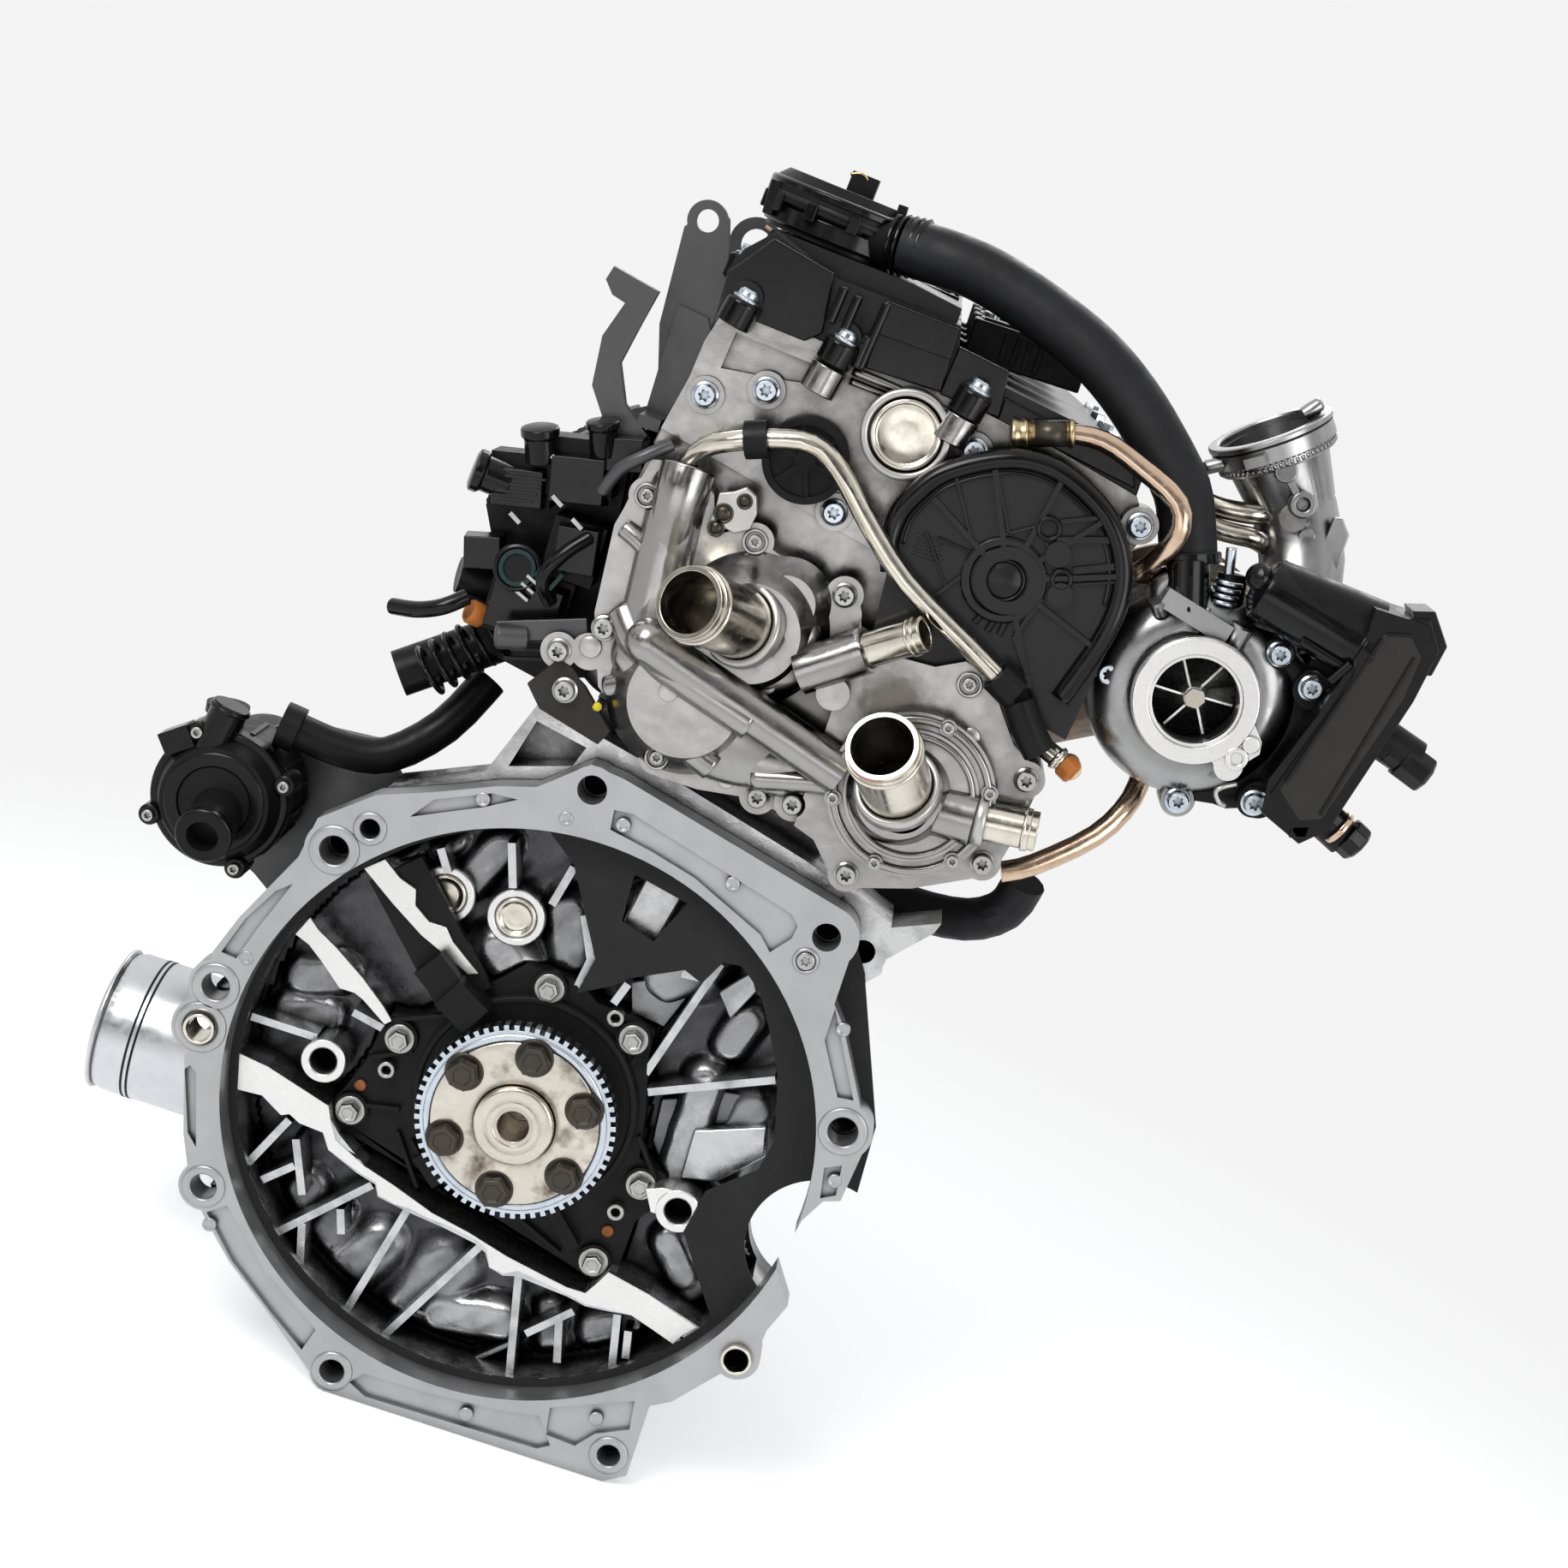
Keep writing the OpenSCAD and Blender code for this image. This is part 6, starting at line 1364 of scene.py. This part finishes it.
# Places along the crankshaft: main bearings, bores and cam cover bolts
BEARING_WALLS = (63, 145, 227, 309, 391)
BORES = (104, 186, 268, 350)
COVER_BOLTS = (64, 142, 220, 298, 376)


def lean_box(form, x, y, z, size):
    """Block placed and turned in the leaning cylinder frame."""
    across, up = leaned(1, 0), leaned(0, 1)
    place = leaned(x, z)
    form.box((place[0], y, place[1]), size, ((across[0], 0, across[1]), REAR, (up[0], 0, up[1])))


def add_block_sides():
    """Ribs, rails and bosses on the long sides of the block."""
    form = Form()
    for side in (1, -1):
        outline = [leaned(side * x, z) for x, z in BLOCK_SIDE]
        for y in BEARING_WALLS:
            form.slab(outline, max(y - 2.5, 58), min(y + 2.5, 399))
        lean_box(form, side * 65.5, 228, 200, (8, 340, 9))
        lean_box(form, side * 65, 228, 150, (7, 340, 4))
        lean_box(form, side * 78, 228, 44, (7, 340, 4))
        lean_box(form, side * 93.5, 228, -60, (10, 340, 8))
        lean_box(form, side * 93, 228, -22, (6, 340, 4))
        for y in BORES:
            for x, z in ((64, 176), (90.5, 12)):
                place, out = leaned(side * (x - 4), z), leaned(side, 0)
                form.turn(
                    (place[0], y, place[1]), (out[0], 0, out[1]),
                    [(10, 0), (10, 8.4), (8.6, 9.6), (4, 9.6), (3.4, 8), (0, 8)], 28)
    form.make("block_side_ribs", "dark_cast", edge=1.0)
    bolts = Form()
    up = leaned(0, 1)
    for side in (1, -1):
        for k in range(8):
            place = leaned(side * 94.5, -57)
            bolts.hex_head((place[0], 84 + 42 * k, place[1]), (up[0], 0, up[1]), 4.6, 6, 1.3, 0.2 * k, 0.4)
    bolts.make("pan_joint_bolts", "bolt", edge=0.3)


def add_pan_trim():
    """Ribs of the upper pan, swage and bolts of the sheet pan below."""
    form = Form()
    for y in range(136, 390, 31):
        form.slab([(76, -85), (84, -88), (82.5, -131), (75, -131)], y, y + 4)
        form.slab([(-100, -48), (-107.5, -52), (-88, -131), (-80, -131)], y, y + 4)
    form.make("pan_side_ribs", "dark_cast", edge=0.9)
    swage = Form()
    loop = [
        (-69, 100), (-69, 334), (-60, 353), (56, 353), (65, 334), (65, 90), (56, 71), (-60, 71), (-69, 90),
        (-69, 100)]
    swage.tube([(x, y, -152) for x, y in loop], 2.2, 12)
    swage.make("lower_pan_swages", "black_sheet", edge=0.6)
    bolts = Form()
    for k in range(8):
        for x in (-75, 71):
            bolts.hex_head((x, 76 + 39 * k, -138.6), (0, 0, -1), 4.2, 4.6, 1.35, 0.3 * k, 0.4)
    bolts.make("lower_pan_bolts", "zinc", edge=0.25)


def hull(points):
    """Convex outline round (x, z) points."""
    points = sorted(set(points))
    chains = []
    for run in (points, points[::-1]):
        chain = []
        for p in run:
            while len(chain) > 1 and ((chain[-1][0] - chain[-2][0]) * (p[1] - chain[-2][1])
                                      <= (chain[-1][1] - chain[-2][1]) * (p[0] - chain[-2][0])):
                chain.pop()
            chain.append(p)
        chains.append(chain[:-1])
    return chains[0] + chains[1]


def even_points(outline, inset, pitch):
    """Places about pitch apart along a closed outline moved inwards by inset, counter-clockwise."""
    out = []
    for (x0, z0), (x1, z1) in zip(outline, outline[1:] + outline[:1]):
        length = math.hypot(x1 - x0, z1 - z0)
        count = max(1, round(length / pitch))
        for k in range(count):
            t = k / count
            out.append((
                x0 + (x1 - x0) * t - (z1 - z0) / length * inset,
                z0 + (z1 - z0) * t + (x1 - x0) / length * inset))
    return out


def add_timing_cover_trim():
    """Rim, rings, ribs and bolts on the outer face of the timing cover."""
    mesh = NODES["timing_cover"].data
    face = max(p.co.y for p in mesh.vertices) / MM
    edge = [
        (round(p.co.x / MM, 1), round(p.co.z / MM, 1)) for p in mesh.vertices if p.co.y / MM > face - 0.1]
    # Only the parts round the camshafts and the crankshaft count, not the bulge over the roller
    outline = hull([p for p in edge if p[1] > 290 or p[1] < 45])
    form = Form()
    rim = even_points(outline, 7, 6)
    form.tube([(x, face + 0.4, z) for x, z in rim + rim[:1]], 2.4, 12)
    cams = [leaned(-37, 356), leaned(73, 356)]
    for x, z in cams:
        for radius in (41, 24):
            form.hollow((x, face - 1, z), REAR, lip(radius, radius - 4, 0, 4, 0.8, 0.8), 72)
        for k in range(8):
            form.bar(polar(x, z, 23, 45 * k + 20), polar(x, z, 39, 45 * k + 20), face + 0.8, 3.6, 2.4)
    for a, b in (
            ((-22, 70), (8, 288)), ((22, 70), (60, 288)), ((-8, 70), (44, 288)), ((-20, 130), (42, 130)),
            ((-12, 190), (62, 190)), ((-4, 246), (84, 246))):
        form.bar(a, b, face + 0.6, 3.2, 2.6)
    form.make("timing_cover_ribs", "plastic", edge=0.6)
    bolts = Form()
    for k, (x, z) in enumerate(even_points(outline, 13, 6)[::14]):
        bolts.hex_head((x, face - 0.2, z), REAR, 4.8, 5.4, 1.35, 0.4 * k, 0.4)
    bolts.make("timing_cover_bolts", "zinc", edge=0.25)


def add_cam_cover_top():
    """Ribs and bolts on the cam cover, bolts and latches on the ignition coils."""
    form = Form()
    for k in range(7):
        x = -4 + 14 * k
        form.box((x, 264, 451.6 - 0.0816 * (x + 12)), (2.6, 226, 3.4), facing(0.9967, -0.0814))
    for y in (151, 208, 265, 322, 377):
        form.box((38, y, 448.2), (92, 2.6, 3.4), facing(0.9967, -0.0814))
    for y in (63, 145, 227, 309, 376):
        form.slab([
            (90, 422), (100, 422.5), (190, 399), (191, 394), (150, 404), (92, 417)], y - 1.6, y + 1.6)
    for y in COVER_BOLTS:
        for x, z in ((181, 395), (-21, 431)):
            form.turn((x, y, z - 8), (0.1, 0, 1), [(9, 0), (9, 11), (7.8, 12.4)], 28)
    form.make("cam_cover_ribs", "gloss", edge=0.6)
    bolts = Form()
    for k, y in enumerate(COVER_BOLTS):
        for x, z in ((181.6, 399.2), (-20.6, 435.2)):
            bolts.hex_head((x, y, z), (0.1, 0, 1), 4.8, 6, 1.3, 0.3 * k, 0.5)
    for y in BORES:
        bolts.socket_head((102, y + 10, 440.8), (0, 0, 1), 4.2, 4.4, 1.2)
    bolts.make("cam_cover_bolts", "zinc", edge=0.25)
    coils = Form()
    for y in BORES:
        coils.slab([(96, 438), (99, 442.6), (134, 442.6), (138, 438)], y - 13, y + 4)
        coils.slab([(138, 440), (142, 444), (155, 444), (157, 440)], y - 6, y + 6)
        for k in range(4):
            coils.box((112 + 6 * k, y - 17.4, 431), (2.4, 2.4, 15))
            coils.box((112 + 6 * k, y + 17.4, 431), (2.4, 2.4, 15))
    coils.make("coil_heads", "plastic", edge=0.6)


def add_manifold_ribs():
    """Ribs and weld seam round the plenum of the intake manifold."""
    outline = [
        (-47, 340), (-66, 326), (-96, 308), (-108, 282), (-98, 262), (-108, 240), (-92, 212), (-60, 206),
        (-37, 214), (-37, 250), (-43, 296)]
    proud = [(-72 + (x + 72) * 1.07, 270 + (z - 270) * 1.035) for x, z in outline]
    form = Form()
    for y in range(68, 380, 26):
        form.slab(proud, y, y + 3)
    form.box((-99, 220, 262), (7, 322, 5))
    form.box((-83, 220, 316.8), (6, 322, 4), facing(0.86, 0.51))
    form.make("intake_plenum_ribs", "plastic", edge=0.8)
    bolts = Form()
    for k, y in enumerate((82, 145, 227, 309, 372)):
        bolts.hex_head((-46, y, 336), (-0.75, 0, 0.66), 4.8, 6, 1.35, 0.5 * k, 0.5)
    bolts.make("intake_manifold_bolts", "zinc", edge=0.25)


# Ribs on the sides of the head, in the leaning cylinder frame
EXHAUST_RIB = [(74, 211), (82, 213), (94, 240), (100, 299), (92, 330), (84, 330), (88, 238)]
INTAKE_RIB = [(74, 211), (82, 213), (88, 240), (104.5, 281), (107, 330), (98, 330), (80, 238)]


def add_head_sides():
    """Ribs, rails and plugs on the long sides of the cylinder head and cam housing."""
    form = Form()
    for side, top in ((1, 92), (-1, 102)):
        lean_box(form, side * (top - 1), 210, 329, (8, 366, 9))
    for y in BEARING_WALLS:
        form.slab([leaned(x, z) for x, z in EXHAUST_RIB], y - 8.5, y - 4)
        form.slab([leaned(-x, z) for x, z in INTAKE_RIB], max(y - 8.5, 150), max(y - 4, 154.5))
    for y in BORES:
        form.turn(
            (196, y + 41 if y < 350 else y + 20, 362), (1, 0, 0.3),
            [(11, -12), (11, 2), (9.6, 3.4), (5, 3.4), (4.2, 2), (0, 2)], 32)
    form.make("head_side_ribs", "cast", edge=0.8)


def add_turbine_trim():
    """Clamp bands, flange nuts and a cast seam on the turbine housing."""
    bands = Form()
    bands.hollow((248, 87, 306), REAR, bead(47, 50.5, 40, 0, 10, 2), 72)
    bands.box((248, 92, 358.5), (12, 12, 9))
    bands.turn((236, 92, 358.5), (1, 0, 0), [(3, 0), (3, 26), (2.4, 27)], 16)
    bands.hollow((248, 55, 306), REAR, bead(39, 41, 34, 0, 6, 1), 64)
    bands.make("turbine_clamp_bands", "steel", edge=0.5)
    nuts = Form()
    for k in range(6):
        x, z = polar(*TURBO, 47.6, 60 * k + 12)
        nuts.hex_head((x, 177.6, z), REAR, 4.4, 5.6, 1.2, 0.5 * k, 0.6)
        nuts.turn((x, 174, z), REAR, [(2.2, 0), (2.2, 12.5), (1.6, 13)], 14)
    nuts.make("turbine_outlet_nuts", "dark_bolt", edge=0.2)
    seam = Form()
    ring = [polar(*TURBO, 52.9, 6 * k) for k in range(12, 46)]
    seam.tube([(x, 112, z) for x, z in ring], 1.5, 10)
    seam.make("turbine_cast_seam", "iron", edge=0)


def add_pulley_and_filter():
    """Bolt and washer of the crank pulley, crimped rings and lines of the oil filter."""
    end = max(p.co.y for p in NODES["crankshaft"].data.vertices) / MM
    bolt = Form()
    bolt.turn((0, end - 3, 0), REAR, [(20, 0), (20, 4.4), (19, 5.4)], 48)
    bolt.hex_head((0, end + 2, 0), REAR, 11, 9, 1.3, 0.2, 0.8)
    bolt.make("crank_pulley_bolt", "dark_bolt", "crank", 0.4)
    can = Form()
    can.hollow((-151, 94.5, -52), (-1, 0, 0), [
        (38, 0), (39.6, 0.8), (39.6, 4.6), (38, 5.6), (34, 5.6), (34, 0)], 72)
    can.hollow((-227, 94.5, -52), (-1, 0, 0), bead(37.6, 38.6, 34, 0, 2.6, 0.7), 72)
    can.make("oil_filter_crimp", "can", edge=0.5)
    band = Form()
    for x in (-168, -171, -206, -209):
        band.hollow((x, 94.5, -52), (-1, 0, 0), [(38.3, 0), (38.3, 1.1), (36, 1.1), (36, 0)], 72)
    band.make("oil_filter_lines", "black_sheet", edge=0)


add_camera()
add_light()
add_floor()
for finish, names in FINISH.items():
    for name in names:
        dress_node(name, finish)
for add_pieces in (
        add_recess_wall, add_recess_faces, add_crank_face, add_seal_flange_bolts, add_recess_pads,
        add_module_bolts, add_module_marks, add_module_shapes, add_pump_face, add_module_bracket,
        add_housing_bolts, add_cam_cover_front, add_separator_trim, add_belt_cover, add_turbo_face,
        add_actuator, add_elbow_trim, add_turbo_tubes, add_intake_fittings, add_pump_fittings,
        add_neck_shade_discs, add_neck_sealant, add_ring_marks, add_block_sides, add_pan_trim,
        add_timing_cover_trim, add_cam_cover_top, add_manifold_ribs, add_head_sides, add_turbine_trim,
        add_pulley_and_filter):
    add_pieces()

bpy.context.scene.view_settings.view_transform = "Standard"
